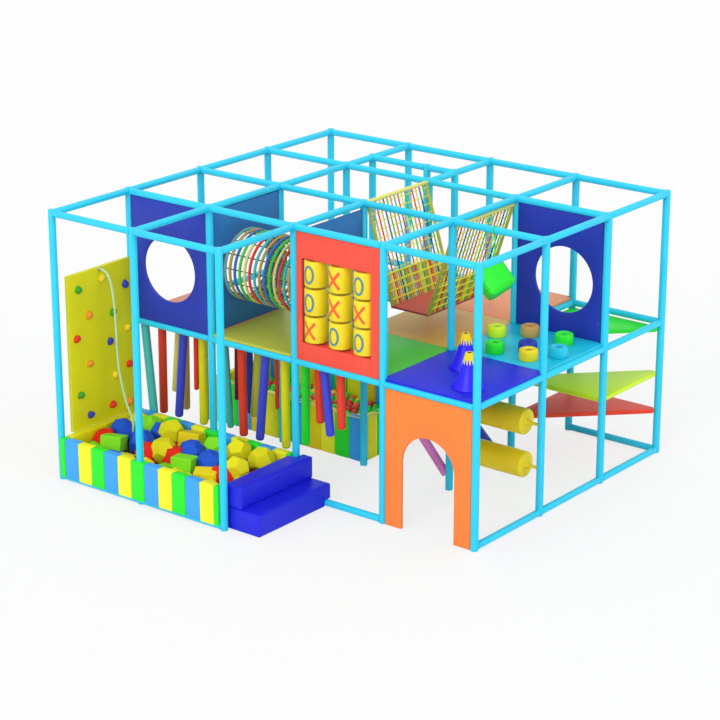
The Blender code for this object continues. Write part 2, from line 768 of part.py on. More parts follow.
def foam_shapes(columns, rows):
    """Foam cubes and many sided balls, half sunk in the filling, each turned its own way."""
    reach = FOAM_SIZE * 1.25
    step_x = (foam_right - foam_left - 2 * reach) / (columns - 1)
    step_y = (foam_back - foam_front - 2 * reach) / (rows - 1)
    made = []
    for column in range(columns):
        for row in range(rows):
            number = column * rows + row
            form = bmesh.new()
            if number % 2:
                bmesh.ops.create_icosphere(form, subdivisions=1, radius=FOAM_SIZE)
            else:
                bmesh.ops.create_cube(form, size=FOAM_SIZE * 1.4)
            turn = Matrix.Rotation(0.7 * number + 0.3, 3, "Z") @ Matrix.Rotation(1.1 * number + 0.5, 3, "X")
            bmesh.ops.rotate(form, verts=form.verts, matrix=turn)
            mesh = bpy.data.meshes.new(f"foam shape {number}")
            form.to_mesh(mesh)
            form.free()
            place = (foam_left + reach + column * step_x, foam_front + reach + row * step_y, FOAM_LEVEL)
            made.append(add(f"foam shape {number}", mesh, place=place))
    return made


join(foam, foam_shapes(7, 3))
hollow_x, hollow_y = from_x0(ROPE_ROUTE[-1][0]) + HOLLOW_SHIFT, from_y0(ROPE_LINE)
cut(foam, [cylinder("rope hollow", (hollow_x, hollow_y, HOLLOW_FLOOR), (hollow_x, hollow_y, 2 * FOAM_LEVEL),
                    HOLLOW_RADIUS, sides=8)])

step_front = line_y(0) + STEP_BACK
step_end = line_y(1) + STEP_OVERRUN
step_right = step_left + 2 * STEP_TREAD
steps = box("soft_steps", (step_left, step_front, 0), (step_right, step_end, STEP_RISE), "blue")
join(steps, [box("upper step", (step_left, step_front, STEP_RISE / 2),
                 (step_left + STEP_TREAD, step_end, 2 * STEP_RISE))])
cut(steps, [box("post notch", (step_left - STEP_TREAD, pit_back - PIT_WALL - FIT, -STEP_RISE),
                (line_x(2) + POST_RADIUS + POST_CLEARANCE, step_end + STEP_TREAD, 3 * STEP_RISE)),
            box("base rail notch", (line_x(2), line_y(1) - RAIL_RADIUS - POST_CLEARANCE, -STEP_RISE),
                (line_x(3), line_y(1) + STEP_TREAD, BASE_LEVEL + RAIL_RADIUS + POST_CLEARANCE))])
bevel(steps, STEP_EDGE)

climb_face = line_x(0) + CLIMB_THICKNESS / 2
climb_wall = box("climbing_wall", (line_x(0) - CLIMB_THICKNESS / 2, from_y0(CLIMB_FOOT), PIT_HEIGHT + FIT),
                 (climb_face, line_y(1) - post_gap, CLIMB_TOP), "mustard")
rope_y = from_y0(ROPE_LINE)
join(climb_wall, [
    cone(f"hold {number}", (climb_face - HOLD_HEIGHT / 5, from_y0(y), z),
         (climb_face + HOLD_HEIGHT, from_y0(y), z), (HOLD_RADIUS, HOLD_RADIUS * 0.6), sides=6)
    for number, (y, z) in enumerate(HOLDS)
] + [
    cylinder("rope eye", (climb_face - ROPE_EYE_LENGTH / 5, rope_y, ROPE_EYE_LEVEL),
             (climb_face + ROPE_EYE_LENGTH, rope_y, ROPE_EYE_LEVEL), ROPE_EYE_RADIUS, sides=10),
])


def smooth_route(points, spacing):
    """Points at even spacing along a Catmull-Rom curve through the route's own points."""
    ends = [2 * points[0] - points[1]] + points + [2 * points[-1] - points[-2]]
    fine = [points[0]]
    for before, first, second, after in zip(ends, ends[1:], ends[2:], ends[3:]):
        for step in range(1, 21):
            t = step / 20
            fine.append(0.5 * (2 * first + (second - before) * t
                               + (2 * before - 5 * first + 4 * second - after) * t * t
                               + (3 * first - before - 3 * second + after) * t ** 3))
    length = sum((b - a).length for a, b in zip(fine, fine[1:]))
    count = round(length / spacing)
    route, walked, target = [fine[0]], 0.0, length / count
    for a, b in zip(fine, fine[1:]):
        gap = (b - a).length
        while walked + gap >= target * len(route) and len(route) < count:
            route.append(a.lerp(b, (target * len(route) - walked) / gap))
        walked += gap
    return route + [fine[-1]]


rope_start = climb_face + ROPE_EYE_LENGTH + FIT
rope_head = Vector((rope_start, rope_y, ROPE_EYE_LEVEL))
rope_points = [rope_head + Vector((ROPE_LEAD, 0, 0))]
rope_points += [Vector((from_x0(x), rope_y, z)) for x, z in ROPE_ROUTE]
rope_curve = bpy.data.curves.new("climbing_rope", "CURVE")
rope_curve.dimensions = "3D"
rope_curve.bevel_depth = ROPE_RADIUS
rope_curve.bevel_resolution = 2
rope_curve.use_fill_caps = True
rope_spline = rope_curve.splines.new("POLY")
route = [rope_head] + smooth_route(rope_points, ROPE_SPACING)
rope_spline.points.add(len(route) - 1)
for knot, place in zip(rope_spline.points, route):
    knot.co = (*place, 1)
meshed("climbing_rope", rope_curve, Vector((0, 0, 0)), "rope")

# Ball pit in the lower level, two bays wide
ball_left = line_x(0) + post_gap
ball_right = line_x(2) - post_gap
ball_front = line_y(2) + post_gap
ball_back = line_y(3) - post_gap
corners = [
    (ball_left, ball_front), (ball_right, ball_front), (ball_right, ball_back), (ball_left, ball_back),
]
ball_outline = []
for (start, end), stripes in zip(zip(corners, corners[1:] + corners[:1]), 2 * BALL_PIT_STRIPES):
    ball_outline += striped_edge(start, end, stripes, STRIPE_SEAM)
inner = [
    (ball_left + BALL_PIT_WALL, ball_front + BALL_PIT_WALL),
    (ball_right - BALL_PIT_WALL, ball_front + BALL_PIT_WALL),
    (ball_right - BALL_PIT_WALL, ball_back - BALL_PIT_WALL),
    (ball_left + BALL_PIT_WALL, ball_back - BALL_PIT_WALL),
]
outline("ball_pit_wall", [ball_outline, inner], 0, BALL_PIT_HEIGHT, "sky")


def ball_heap():
    """The balls in the pit as one bed with a gently heaped top."""
    low = Vector(inner[0]) + Vector((FIT, FIT)) * 3
    high = Vector(inner[2]) - Vector((FIT, FIT)) * 3
    form = bmesh.new()
    bmesh.ops.create_grid(form, x_segments=10, y_segments=5, size=0.5)
    middle = (low + high) / 2
    for vert in form.verts:
        u, v = vert.co.x, vert.co.y
        vert.co.x = middle.x + u * (high.x - low.x)
        vert.co.y = middle.y + v * (high.y - low.y)
        vert.co.z = BALL_LEVEL + BALL_HEAP * math.cos(7 * u) * math.cos(5 * v)
    skin = bmesh.ops.extrude_face_region(form, geom=form.faces[:])
    for item in skin["geom"]:
        if isinstance(item, bmesh.types.BMVert):
            item.co.z = 0.0
    bmesh.ops.recalc_face_normals(form, faces=form.faces)
    mesh = bpy.data.meshes.new("ball_pit_balls")
    form.to_mesh(mesh)
    form.free()
    return add("ball_pit_balls", mesh, "red")


ball_heap()

# Foam tubes that hang from the deck, each free to swing on its strap's pivot
hang_level = DECK_BOTTOM - FIT - PIVOT_RADIUS
for number, (colour, x, y, foot, lean) in enumerate(HANGING_TUBES, start=1):
    drop = hang_level - foot
    diagonal = PIVOT_RADIUS * math.sqrt(0.5)
    tube = turned(f"hanging_tube_{number:02d}", [
        (0.0, PIVOT_RADIUS), (diagonal, diagonal), (STRAP_RADIUS, -PIVOT_RADIUS),
        (STRAP_RADIUS, -STRAP_LENGTH), (HANG_RADIUS, -STRAP_LENGTH), (HANG_RADIUS, -drop + HANG_RADIUS / 2),
        (HANG_RADIUS / 2, -drop), (0.0, -drop),
    ], colour, (from_x0(x), from_y0(y), hang_level), 8)
    tube.rotation_euler = (0, -math.radians(lean), 0)

# Triangular step platforms between lines X3 to X4 and Y3 to Y4
plate_low_x, plate_high_x = line_x(3) + PLATE_SET_IN, line_x(4) - PLATE_SET_IN
plate_low_y, plate_high_y = line_y(3) + PLATE_SET_IN, line_y(4) - PLATE_SET_IN
back_corner = [
    (plate_low_x, plate_low_y), (plate_low_x + PLATE_TIP, plate_low_y),
    (plate_high_x, plate_high_y - PLATE_TIP), (plate_high_x, plate_high_y), (plate_low_x, plate_high_y),
]
front_corner = [
    (plate_low_x, plate_low_y), (plate_high_x, plate_low_y), (plate_high_x, plate_high_y),
    (plate_high_x - PLATE_TIP, plate_high_y), (plate_low_x, plate_low_y + PLATE_TIP),
]
for name, shape, top, colour in (("platform_low", back_corner, 0.55, "red"),
                                 ("platform_middle", front_corner, 0.99, "lime"),
                                 ("platform_high", back_corner, 1.53, "green")):
    plate = outline(name, [shape], top - PLATE_THICKNESS, top, colour)
    cut(plate, [post_tool(f"{name} post {i} {j}", i, j) for i in (3, 4) for j in (3, 4)])

# Rollers that turn between posts on line Y2
half_roller = ROLLER_LENGTH / 2
half_shaft = BAY / 2 - SHAFT_ANCHOR
for name, level in ROLLER_LEVELS.items():
    turned(name, [
        (0.0, half_shaft), (SHAFT_RADIUS, half_shaft), (SHAFT_RADIUS, half_roller),
        (ROLLER_RADIUS, half_roller), (ROLLER_RADIUS, -half_roller), (SHAFT_RADIUS, -half_roller),
        (SHAFT_RADIUS, -half_shaft), (0.0, -half_shaft),
    ], "yellow", (line_x(3.5), line_y(2), level), 12, axis="X")

# Slanted padded beams in the lower level
pink_beam = cylinder("slanted_beam_pink", (line_x(2), line_y(2), 1.46), (line_x(3), line_y(2), 0.13),
                     BEAM_RADIUS, "pink")
cut(pink_beam, [post_tool("pink head", 2, 2), post_tool("pink foot", 3, 2)])
blue_beam = cylinder("slanted_beam_blue", (line_x(3), line_y(2), 1.16), (line_x(3), from_y0(3.5), -0.06),
                     BEAM_RADIUS, "navy")
cut(blue_beam, [
    post_tool("blue head", 3, 2),
    box("blue floor", (line_x(2.5), line_y(2), -BAY), (line_x(3.5), line_y(3), 0)),
])


# Block that swings below the top rail of line Y2
def hanging_block():
    """A tilted soft block on a strap, with a loop round the rail."""
    x, y = line_x(3.5) - BLOCK_SHIFT, line_y(2)
    loop_inner = RAIL_RADIUS + LOOP_PLAY
    loop = turned("hanging_block", [
        (loop_inner + LOOP_WALL, LOOP_WIDTH / 2), (loop_inner + LOOP_WALL, -LOOP_WIDTH / 2),
        (loop_inner, -LOOP_WIDTH / 2), (loop_inner, LOOP_WIDTH / 2),
    ], "green", (x, y, TOP_LEVEL), 16, axis="X")
    strap_head = TOP_LEVEL - loop_inner - LOOP_WALL / 2
    strap = cylinder("block strap", (x, y, strap_head), (x, y, TOP_LEVEL - BLOCK_DROP), STRAP_RADIUS,
                     sides=8)
    form = bmesh.new()
    bmesh.ops.create_cube(form, size=BLOCK_SIZE)
    bmesh.ops.bevel(form, geom=form.edges[:], offset=BLOCK_EDGE, segments=1, affect="EDGES")
    tilt = Euler([math.radians(angle) for angle in BLOCK_TILT], "XYZ").to_matrix()
    bmesh.ops.rotate(form, verts=form.verts, matrix=tilt)
    mesh = bpy.data.meshes.new("block body")
    form.to_mesh(mesh)
    form.free()
    body = add("block body", mesh, place=(x, y, TOP_LEVEL - BLOCK_DROP))
    join(loop, [strap, body])
    return loop


hanging_block()
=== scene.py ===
"""Looks of an indoor soft play maze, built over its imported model.

Places are given in metres from bay lines X0 and Y0 and from the floor, as the helpers at() and put()
read them.
"""

import logging
import math
import random
from collections.abc import Iterable, Sequence
from dataclasses import dataclass
from enum import Enum

import bmesh
import bpy
from mathutils import Matrix, Vector

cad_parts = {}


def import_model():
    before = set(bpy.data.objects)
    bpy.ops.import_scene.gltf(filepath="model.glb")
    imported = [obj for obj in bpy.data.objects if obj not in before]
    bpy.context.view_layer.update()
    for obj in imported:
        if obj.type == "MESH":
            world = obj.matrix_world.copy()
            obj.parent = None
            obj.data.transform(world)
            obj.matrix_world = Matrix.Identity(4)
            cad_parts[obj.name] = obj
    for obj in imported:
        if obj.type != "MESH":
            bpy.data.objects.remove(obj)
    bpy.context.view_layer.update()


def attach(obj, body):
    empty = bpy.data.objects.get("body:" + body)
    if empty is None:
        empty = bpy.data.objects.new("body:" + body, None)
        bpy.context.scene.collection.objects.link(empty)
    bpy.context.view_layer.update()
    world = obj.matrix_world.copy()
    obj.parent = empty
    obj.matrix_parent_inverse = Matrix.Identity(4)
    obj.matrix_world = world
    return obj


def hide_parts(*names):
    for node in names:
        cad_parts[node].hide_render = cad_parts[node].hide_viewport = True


LOG = logging.getLogger("play_maze")

BAY = 1.2
HALF_SPAN = 2.4
BASE_LEVEL = 0.04
MID_LEVEL = 1.58
TOP_LEVEL = 3.08
POST_RADIUS = 0.041
RAIL_RADIUS = 0.038
DECK_BOTTOM = 1.6186
DECK_TOP = 1.6486
PANEL_THICKNESS = 0.038
PANEL_MARGIN = 0.042
PANEL_LOW = 1.6175
PANEL_HIGH = 3.043
SPECULAR = 0.3
TINY = 1e-9
CLOTH_QUALITY = 4
CLOTH_STIFFNESS = 30.0
CLOTH_FRAMES = 20
STRUCTURE = "structure"

Point = tuple[float, float]
Shape = bmesh.types.BMesh


def at(x: float, y: float, z: float) -> Vector:
    """Place in the model's frame of a point given from lines X0 and Y0 and the floor."""
    return Vector((x - HALF_SPAN, y - HALF_SPAN, z))


# Finishes


class Tint(Enum):
    """Colours of the maze's skins, cords and balls, from 0 to 255."""

    CYAN = (44, 203, 236)
    NAVY = (36, 56, 170)
    STEEL_BLUE = (44, 116, 182)
    RED_ORANGE = (240, 80, 62)
    ORANGE = (244, 130, 56)
    YELLOW = (238, 214, 28)
    LEMON = (246, 242, 44)
    SUN = (236, 212, 14)
    CITRON = (226, 220, 18)
    AMBER = (240, 142, 22)
    SCARLET = (226, 32, 14)
    COBALT = (26, 84, 208)
    INDIGO = (62, 72, 214)
    FOREST = (46, 160, 32)
    LEAF = (128, 222, 30)
    DEEP_BLUE = (28, 34, 212)
    CONE_BLUE = (36, 24, 232)
    SKY = (60, 162, 250)
    GREEN = (40, 230, 48)
    GRASS = (72, 200, 60)
    RED = (234, 62, 36)
    MAROON = (150, 34, 60)
    TEAL = (74, 190, 186)
    TAN = (198, 156, 84)
    SAND = (220, 176, 84)
    CORAL = (238, 148, 100)
    SALMON = (240, 146, 118)
    OLIVE = (186, 190, 66)
    PALE_YELLOW = (222, 218, 120)
    LIME = (204, 236, 40)
    PINK = (216, 122, 192)
    AQUA = (28, 194, 224)
    ROPE = (186, 220, 172)
    MARK_BLUE = (84, 136, 150)
    MARK_RED = (236, 92, 50)
    MAT_RED = (214, 96, 92)
    SHADOW = (40, 40, 52)
    STEEL = (190, 194, 200)

    def linear(self) -> tuple[float, float, float, float]:
        """The colour as linear light, with full alpha."""
        return (*(((c / 255 + 0.055) / 1.055) ** 2.4 if c > 10 else c / 3294 for c in self.value), 1.0)


class Nodes:
    """A short hand over one node tree."""

    def __init__(self, tree: bpy.types.NodeTree) -> None:
        """Start on an existing tree."""
        self.tree = tree

    def add(self, kind: str, inputs: dict[str | int, object] | None = None,
            **settings: object) -> bpy.types.Node:
        """Add a node.

        Args:
            kind: the node's type, without the ShaderNode prefix.
            inputs: socket name or number to a value, or to a socket to link from.
            settings: the node's own properties.

        Returns:
            The node.
        """
        node = self.tree.nodes.new("ShaderNode" + kind)
        for key, value in settings.items():
            setattr(node, key, value)
        for key, value in (inputs or {}).items():
            if isinstance(value, bpy.types.NodeSocket):
                self.tree.links.new(value, node.inputs[key])
            else:
                node.inputs[key].default_value = value
        return node


class Effect(Enum):
    """Shared effects, each a node group that is built once."""

    TONE = "Soft tone"
    SCUFF = "Scuffs"
    GRAIN = "Skin grain"
    FIBRE = "Twisted fibre"

    def group(self) -> bpy.types.NodeTree:
        """The effect's node group, built the first time it is asked for."""
        return bpy.data.node_groups.get(self.value) or {
            Effect.TONE: build_tone,
            Effect.SCUFF: build_scuffs,
            Effect.GRAIN: build_grain,
            Effect.FIBRE: build_fibre,
        }[self]()


def new_group(effect: Effect, takes: dict[str, str],
              gives: dict[str, str]) -> tuple[Nodes, bpy.types.Node, bpy.types.Node]:
    """Start a node group.

    Args:
        effect: the effect it holds.
        takes: input names and socket kinds.
        gives: output names and socket kinds.

    Returns:
        The group's nodes, its input node and its output node.
    """
    tree = bpy.data.node_groups.new(effect.value, "ShaderNodeTree")
    for names, way in ((takes, "INPUT"), (gives, "OUTPUT")):
        for name, kind in names.items():
            tree.interface.new_socket(name, in_out=way, socket_type="NodeSocket" + kind)
    nodes = Nodes(tree)
    return nodes, tree.nodes.new("NodeGroupInput"), tree.nodes.new("NodeGroupOutput")


def build_tone() -> bpy.types.NodeTree:
    """Slow drift of a colour's lightness, as in handled and dusty vinyl."""
    nodes, given, result = new_group(
        Effect.TONE, {"Vector": "Vector", "Color": "Color", "Scale": "Float", "Amount": "Float"},
        {"Color": "Color"})
    noise = nodes.add("TexNoise", {"Vector": given.outputs["Vector"], "Scale": given.outputs["Scale"],
                                   "Detail": 4.0, "Roughness": 0.6})
    low = nodes.add("Math", {0: 1.0, 1: given.outputs["Amount"]}, operation="SUBTRACT")
    high = nodes.add("Math", {0: 1.0, 1: given.outputs["Amount"]}, operation="ADD")
    light = nodes.add("MapRange", {"Value": noise.outputs["Fac"], "From Min": 0.3, "From Max": 0.7,
                                   "To Min": low.outputs[0], "To Max": high.outputs[0]})
    mixed = nodes.add("Mix", {0: 1.0, 6: given.outputs["Color"], 7: light.outputs[0]},
                      data_type="RGBA", blend_type="MULTIPLY")
    nodes.tree.links.new(mixed.outputs[2], result.inputs["Color"])
    return nodes.tree


def build_scuffs() -> bpy.types.NodeTree:
    """Faint rubbed streaks that lighten a colour and dull its shine."""
    nodes, given, result = new_group(
        Effect.SCUFF, {"Vector": "Vector", "Color": "Color", "Scale": "Float", "Amount": "Float"},
        {"Color": "Color", "Mask": "Float"})
    place = nodes.add("Mapping", {"Vector": given.outputs["Vector"], "Rotation": (0.4, 0.7, 0.2),
                                  "Scale": (1.0, 3.5, 1.0)})
    streaks = nodes.add("TexNoise", {"Vector": place.outputs[0], "Scale": given.outputs["Scale"],
                                     "Detail": 8.0, "Roughness": 0.72})
    where = nodes.add("TexNoise", {"Vector": given.outputs["Vector"], "Scale": 2.2, "Detail": 2.0})
    fine = nodes.add("MapRange", {"Value": streaks.outputs["Fac"], "From Min": 0.56, "From Max": 0.72})
    wide = nodes.add("MapRange", {"Value": where.outputs["Fac"], "From Min": 0.45, "From Max": 0.65})
    both = nodes.add("Math", {0: fine.outputs[0], 1: wide.outputs[0]}, operation="MULTIPLY")
    mask = nodes.add("Math", {0: both.outputs[0], 1: given.outputs["Amount"]}, operation="MULTIPLY")
    pale = nodes.add("Mix", {0: mask.outputs[0], 6: given.outputs["Color"], 7: (0.9, 0.9, 0.88, 1.0)},
                     data_type="RGBA")
    nodes.tree.links.new(pale.outputs[2], result.inputs["Color"])
    nodes.tree.links.new(mask.outputs[0], result.inputs["Mask"])
    return nodes.tree


def build_grain() -> bpy.types.NodeTree:
    """Fine pebbled cells of embossed vinyl, with slow ripples of the foam under it."""
    nodes, given, result = new_group(
        Effect.GRAIN, {"Vector": "Vector", "Scale": "Float", "Ripple": "Float"}, {"Height": "Float"})
    cells = nodes.add("TexVoronoi", {"Vector": given.outputs["Vector"], "Scale": given.outputs["Scale"]},
                      feature="SMOOTH_F1")
    ripple = nodes.add("TexNoise", {"Vector": given.outputs["Vector"], "Scale": 9.0, "Detail": 2.0})
    slow = nodes.add("Math", {0: ripple.outputs["Fac"], 1: given.outputs["Ripple"]}, operation="MULTIPLY")
    total = nodes.add("Math", {0: cells.outputs["Distance"], 1: slow.outputs[0]}, operation="ADD")
    nodes.tree.links.new(total.outputs[0], result.inputs["Height"])
    return nodes.tree


def build_fibre() -> bpy.types.NodeTree:
    """Slanting yarns of a laid or braided cord, with painted shade in the grooves between them and a faint
    painted highlight on their crowns.
    """
    nodes, given, result = new_group(
        Effect.FIBRE, {"Vector": "Vector", "Color": "Color", "Scale": "Float"},
        {"Color": "Color", "Height": "Float"})
    turned = nodes.add("Mapping", {"Vector": given.outputs["Vector"], "Rotation": (0.5, 0.6, 0.8)})
    yarn = nodes.add("TexWave", {"Vector": turned.outputs[0], "Scale": given.outputs["Scale"],
                                 "Distortion": 1.6, "Detail": 2.0}, wave_type="BANDS")
    # Painted shade and highlight: the colour drops to 0.78 in the yarn grooves and rises to 1.06 on the
    # crowns.
    shade = nodes.add("MapRange", {"Value": yarn.outputs["Fac"], "To Min": 0.78, "To Max": 1.06})
    mixed = nodes.add("Mix", {0: 1.0, 6: given.outputs["Color"], 7: shade.outputs[0]},
                      data_type="RGBA", blend_type="MULTIPLY")
    nodes.tree.links.new(mixed.outputs[2], result.inputs["Color"])
    nodes.tree.links.new(yarn.outputs["Fac"], result.inputs["Height"])
    return nodes.tree


@dataclass(frozen=True)
class Finish:
    """What every finish has: a colour, a roughness and a way to make its material once."""

    tint: Tint
    roughness: float = 0.42

    def material(self) -> bpy.types.Material:
        """The finish's material, built the first time it is asked for."""
        name = f"{type(self).__name__.lower()}_{self.tint.name.lower()}_{round(self.roughness * 100)}"
        found = bpy.data.materials.get(name)
        if found:
            return found
        made = bpy.data.materials.new(name)
        made.use_nodes = True
        nodes = Nodes(made.node_tree)
        shader = made.node_tree.nodes["Principled BSDF"]
        shader.inputs["Roughness"].default_value = self.roughness
        shader.inputs["Specular IOR Level"].default_value = SPECULAR
        place = nodes.add("TexCoord").outputs["Object"]
        self.dress(nodes, shader, place)
        return made

    def dress(self, nodes: Nodes, shader: bpy.types.Node, place: bpy.types.NodeSocket) -> None:
        """Give the shader its colour, shine and surface."""
        raise NotImplementedError

    def effect(self, nodes: Nodes, effect: Effect, **inputs: object) -> bpy.types.Node:
        """Place a shared effect in the material with this finish's own values."""
        return nodes.add("Group", inputs, node_tree=effect.group())

    def drift(self, nodes: Nodes, place: bpy.types.NodeSocket, scale: float,
              amount: float) -> bpy.types.NodeSocket:
        """The tint with a slow drift of tone."""
        return self.effect(nodes, Effect.TONE, Vector=place, Color=self.tint.linear(), Scale=scale,
                           Amount=amount).outputs[0]

    def wear(self, nodes: Nodes, shader: bpy.types.Node, place: bpy.types.NodeSocket, tone: Point,
             scuff: Point) -> bpy.types.NodeSocket:
        """Colour the shader with tone and scuffs.

        Args:
            nodes: the material's nodes.
            shader: its shader.
            place: where each point lies.
            tone: scale and amount of the drift of tone.
            scuff: scale and amount of the scuffs.

        Returns:
            The socket that says how scuffed each point is.
        """
        worn = self.effect(nodes, Effect.SCUFF, Vector=place, Color=self.drift(nodes, place, *tone),
                           Scale=scuff[0], Amount=scuff[1])
        nodes.tree.links.new(worn.outputs["Color"], shader.inputs["Base Color"])
        return worn.outputs["Mask"]

    def dull(self, nodes: Nodes, shader: bpy.types.Node, worn: bpy.types.NodeSocket, most: float) -> None:
        """Make the scuffed points rougher, up to a roughness."""
        rough = nodes.add("MapRange", {"Value": worn, "To Min": self.roughness, "To Max": most})
        nodes.tree.links.new(rough.outputs[0], shader.inputs["Roughness"])

    def bump(self, nodes: Nodes, shader: bpy.types.Node, height: bpy.types.NodeSocket, strength: float,
             depth: float) -> None:
        """Feed a height to the shader's normal."""
        made = nodes.add("Bump", {"Height": height, "Strength": strength, "Distance": depth})
        nodes.tree.links.new(made.outputs[0], shader.inputs["Normal"])

    def emboss(self, nodes: Nodes, shader: bpy.types.Node, place: bpy.types.NodeSocket, cells: Point,
               press: Point) -> None:
        """Press cells, with their scale and ripple, into the surface with a strength and a depth."""
        grain = self.effect(nodes, Effect.GRAIN, Vector=place, Scale=cells[0], Ripple=cells[1])
        self.bump(nodes, shader, grain.outputs[0], *press)


@dataclass(frozen=True)
class Vinyl(Finish):
    """Coated vinyl skin over foam or board."""

    grain: float = 0.25
    tone: float = 0.035
    scuff: float = 0.05

    def dress(self, nodes: Nodes, shader: bpy.types.Node, place: bpy.types.NodeSocket) -> None:
        """Drifting tone, faint scuffs and a pebbled skin."""
        worn = self.wear(nodes, shader, place, (2.4, self.tone), (14.0, self.scuff))
        self.dull(nodes, shader, worn, min(1.0, self.roughness + 0.5))
        self.emboss(nodes, shader, place, (420.0, 2.5), (self.grain, 0.0009))


@dataclass(frozen=True)
class Foam(Finish):
    """Bare cut foam with open cells."""

    def dress(self, nodes: Nodes, shader: bpy.types.Node, place: bpy.types.NodeSocket) -> None:
        """Speckled cells over a slow drift of tone."""
        nodes.tree.links.new(self.drift(nodes, place, 130.0, 0.05), shader.inputs["Base Color"])
        self.emboss(nodes, shader, place, (260.0, 1.0), (0.4, 0.0015))


@dataclass(frozen=True)
class Moulding(Finish):
    """Smooth moulded plastic."""

    def dress(self, nodes: Nodes, shader: bpy.types.Node, place: bpy.types.NodeSocket) -> None:
        """Even colour with hairline marks and a faint orange peel."""
        self.wear(nodes, shader, place, (6.0, 0.02), (38.0, 0.04))
        self.emboss(nodes, shader, place, (70.0, 1.5), (0.1, 0.0008))
        shader.inputs["Coat Weight"].default_value = 0.25
        shader.inputs["Coat Roughness"].default_value = 0.2


@dataclass(frozen=True)
class Cord(Finish):
    """Laid or braided cord."""

    roughness: float = 0.75
    yarns: float = 260.0

    def dress(self, nodes: Nodes, shader: bpy.types.Node, place: bpy.types.NodeSocket) -> None:
        """Slanting yarns with painted shade between them and a soft sheen."""
        tone = self.drift(nodes, place, 30.0, 0.06)
        fibre = self.effect(nodes, Effect.FIBRE, Vector=place, Color=tone, Scale=self.yarns)
        nodes.tree.links.new(fibre.outputs["Color"], shader.inputs["Base Color"])
        self.bump(nodes, shader, fibre.outputs["Height"], 0.5, 0.001)
        shader.inputs["Sheen Weight"].default_value = 0.2


@dataclass(frozen=True)
class Steel(Finish):
    """Zinc plated steel."""

    roughness: float = 0.32

    def dress(self, nodes: Nodes, shader: bpy.types.Node, place: bpy.types.NodeSocket) -> None:
        """Spangled metal with dull patches."""
        shader.inputs["Metallic"].default_value = 1.0
        worn = self.wear(nodes, shader, place, (90.0, 0.1), (60.0, 0.3))
        self.dull(nodes, shader, worn, 0.6)


# Shapes, each a bmesh that stands on or round the origin


def turn(degrees: float, axis: str) -> Matrix:
    """A turn about one axis."""
    return Matrix.Rotation(math.radians(degrees), 4, axis)


def shift(place: Iterable[float]) -> Matrix:
    """A move to a place."""
    return Matrix.Translation(Vector(place))


def put(x: float, y: float, z: float) -> Matrix:
    """A move to a place given from lines X0 and Y0 and the floor."""
    return shift(at(x, y, z))


def along(start: Vector, end: Vector) -> Matrix:
    """Lays an upright shape from one place towards another."""
    return shift(start) @ (end - start).to_track_quat("Z", "Y").to_matrix().to_4x4()


def round_edges(shape: Shape, width: float, segments: int = 2, sharper: float = 0.6) -> Shape:
    """Bevel every edge that turns by more than an angle in radians."""
    if width > 0:
        sharp = [edge for edge in shape.edges if edge.calc_face_angle(0.0) > sharper]
        bmesh.ops.bevel(shape, geom=sharp, offset=width, segments=segments, profile=0.5, affect="EDGES",
                        material=-1)
    return shape


def drum(radius: float, height: float, sides: int = 28, edge: float = 0.005, segments: int = 2) -> Shape:
    """A drum that stands on the origin, with rounded rims."""
    shape = bmesh.new()
    bmesh.ops.create_cone(shape, cap_ends=True, segments=sides, radius1=radius, radius2=radius, depth=height,
                          matrix=shift((0, 0, height / 2)))
    return round_edges(shape, edge, segments)


def pad(size: Sequence[float], edge: float = 0.008, crown: float = 0.0, cuts: int = 0,
        segments: int = 2) -> Shape:
    """A padded block round the origin.

    Args:
        size: width, depth and height.
        edge: radius of its rounded edges.
        crown: how far the middle of each face stands out.
        cuts: cuts across each face, which let it curve.
        segments: segments of each rounded edge.

    Returns:
        The block.
    """
    shape = bmesh.new()
    bmesh.ops.create_cube(shape, size=1.0, matrix=Matrix.Diagonal((*size, 1.0)))
    if cuts:
        bmesh.ops.subdivide_edges(shape, edges=shape.edges[:], cuts=cuts, use_grid_fill=True)
    round_edges(shape, edge, segments)
    if crown:
        half = [length / 2 for length in size]
        for vert in shape.verts:
            u, v, w = (vert.co[axis] / half[axis] for axis in range(3))
            bulge = (u * (1 - v * v) * (1 - w * w), v * (1 - u * u) * (1 - w * w),
                     w * (1 - u * u) * (1 - v * v))
            vert.co += Vector(bulge) * crown
    return shape


def lathe(profile: Sequence[Point], steps: int = 32) -> Shape:
    """A profile of radius and height, spun once round the vertical axis."""
    shape = bmesh.new()
    line = [shape.verts.new((radius, 0, height)) for radius, height in profile]
    for first, second in zip(line, line[1:]):
        shape.edges.new((first, second))
    bmesh.ops.spin(shape, geom=shape.verts[:] + shape.edges[:], cent=(0, 0, 0), axis=(0, 0, 1),
                   angle=2 * math.pi, steps=steps, use_merge=True)
    bmesh.ops.remove_doubles(shape, verts=shape.verts, dist=1e-5)
    bmesh.ops.recalc_face_normals(shape, faces=shape.faces)
    return shape


def hoop(radius: float, thickness: float, steps: int = 40, sides: int = 8) -> Shape:
    """A ring of round section about the vertical axis."""
    shape = bmesh.new()
    bmesh.ops.create_circle(shape, segments=sides, radius=thickness,
                            matrix=shift((radius, 0, 0)) @ turn(90, "X"))
    bmesh.ops.spin(shape, geom=shape.verts[:] + shape.edges[:], cent=(0, 0, 0), axis=(0, 0, 1),
                   angle=2 * math.pi, steps=steps, use_merge=True)
    bmesh.ops.recalc_face_normals(shape, faces=shape.faces)
    return shape


def ball(radius: float, finer: int = 2) -> Shape:
    """A ball round the origin."""
    shape = bmesh.new()
    bmesh.ops.create_icosphere(shape, subdivisions=finer, radius=radius)
    return shape


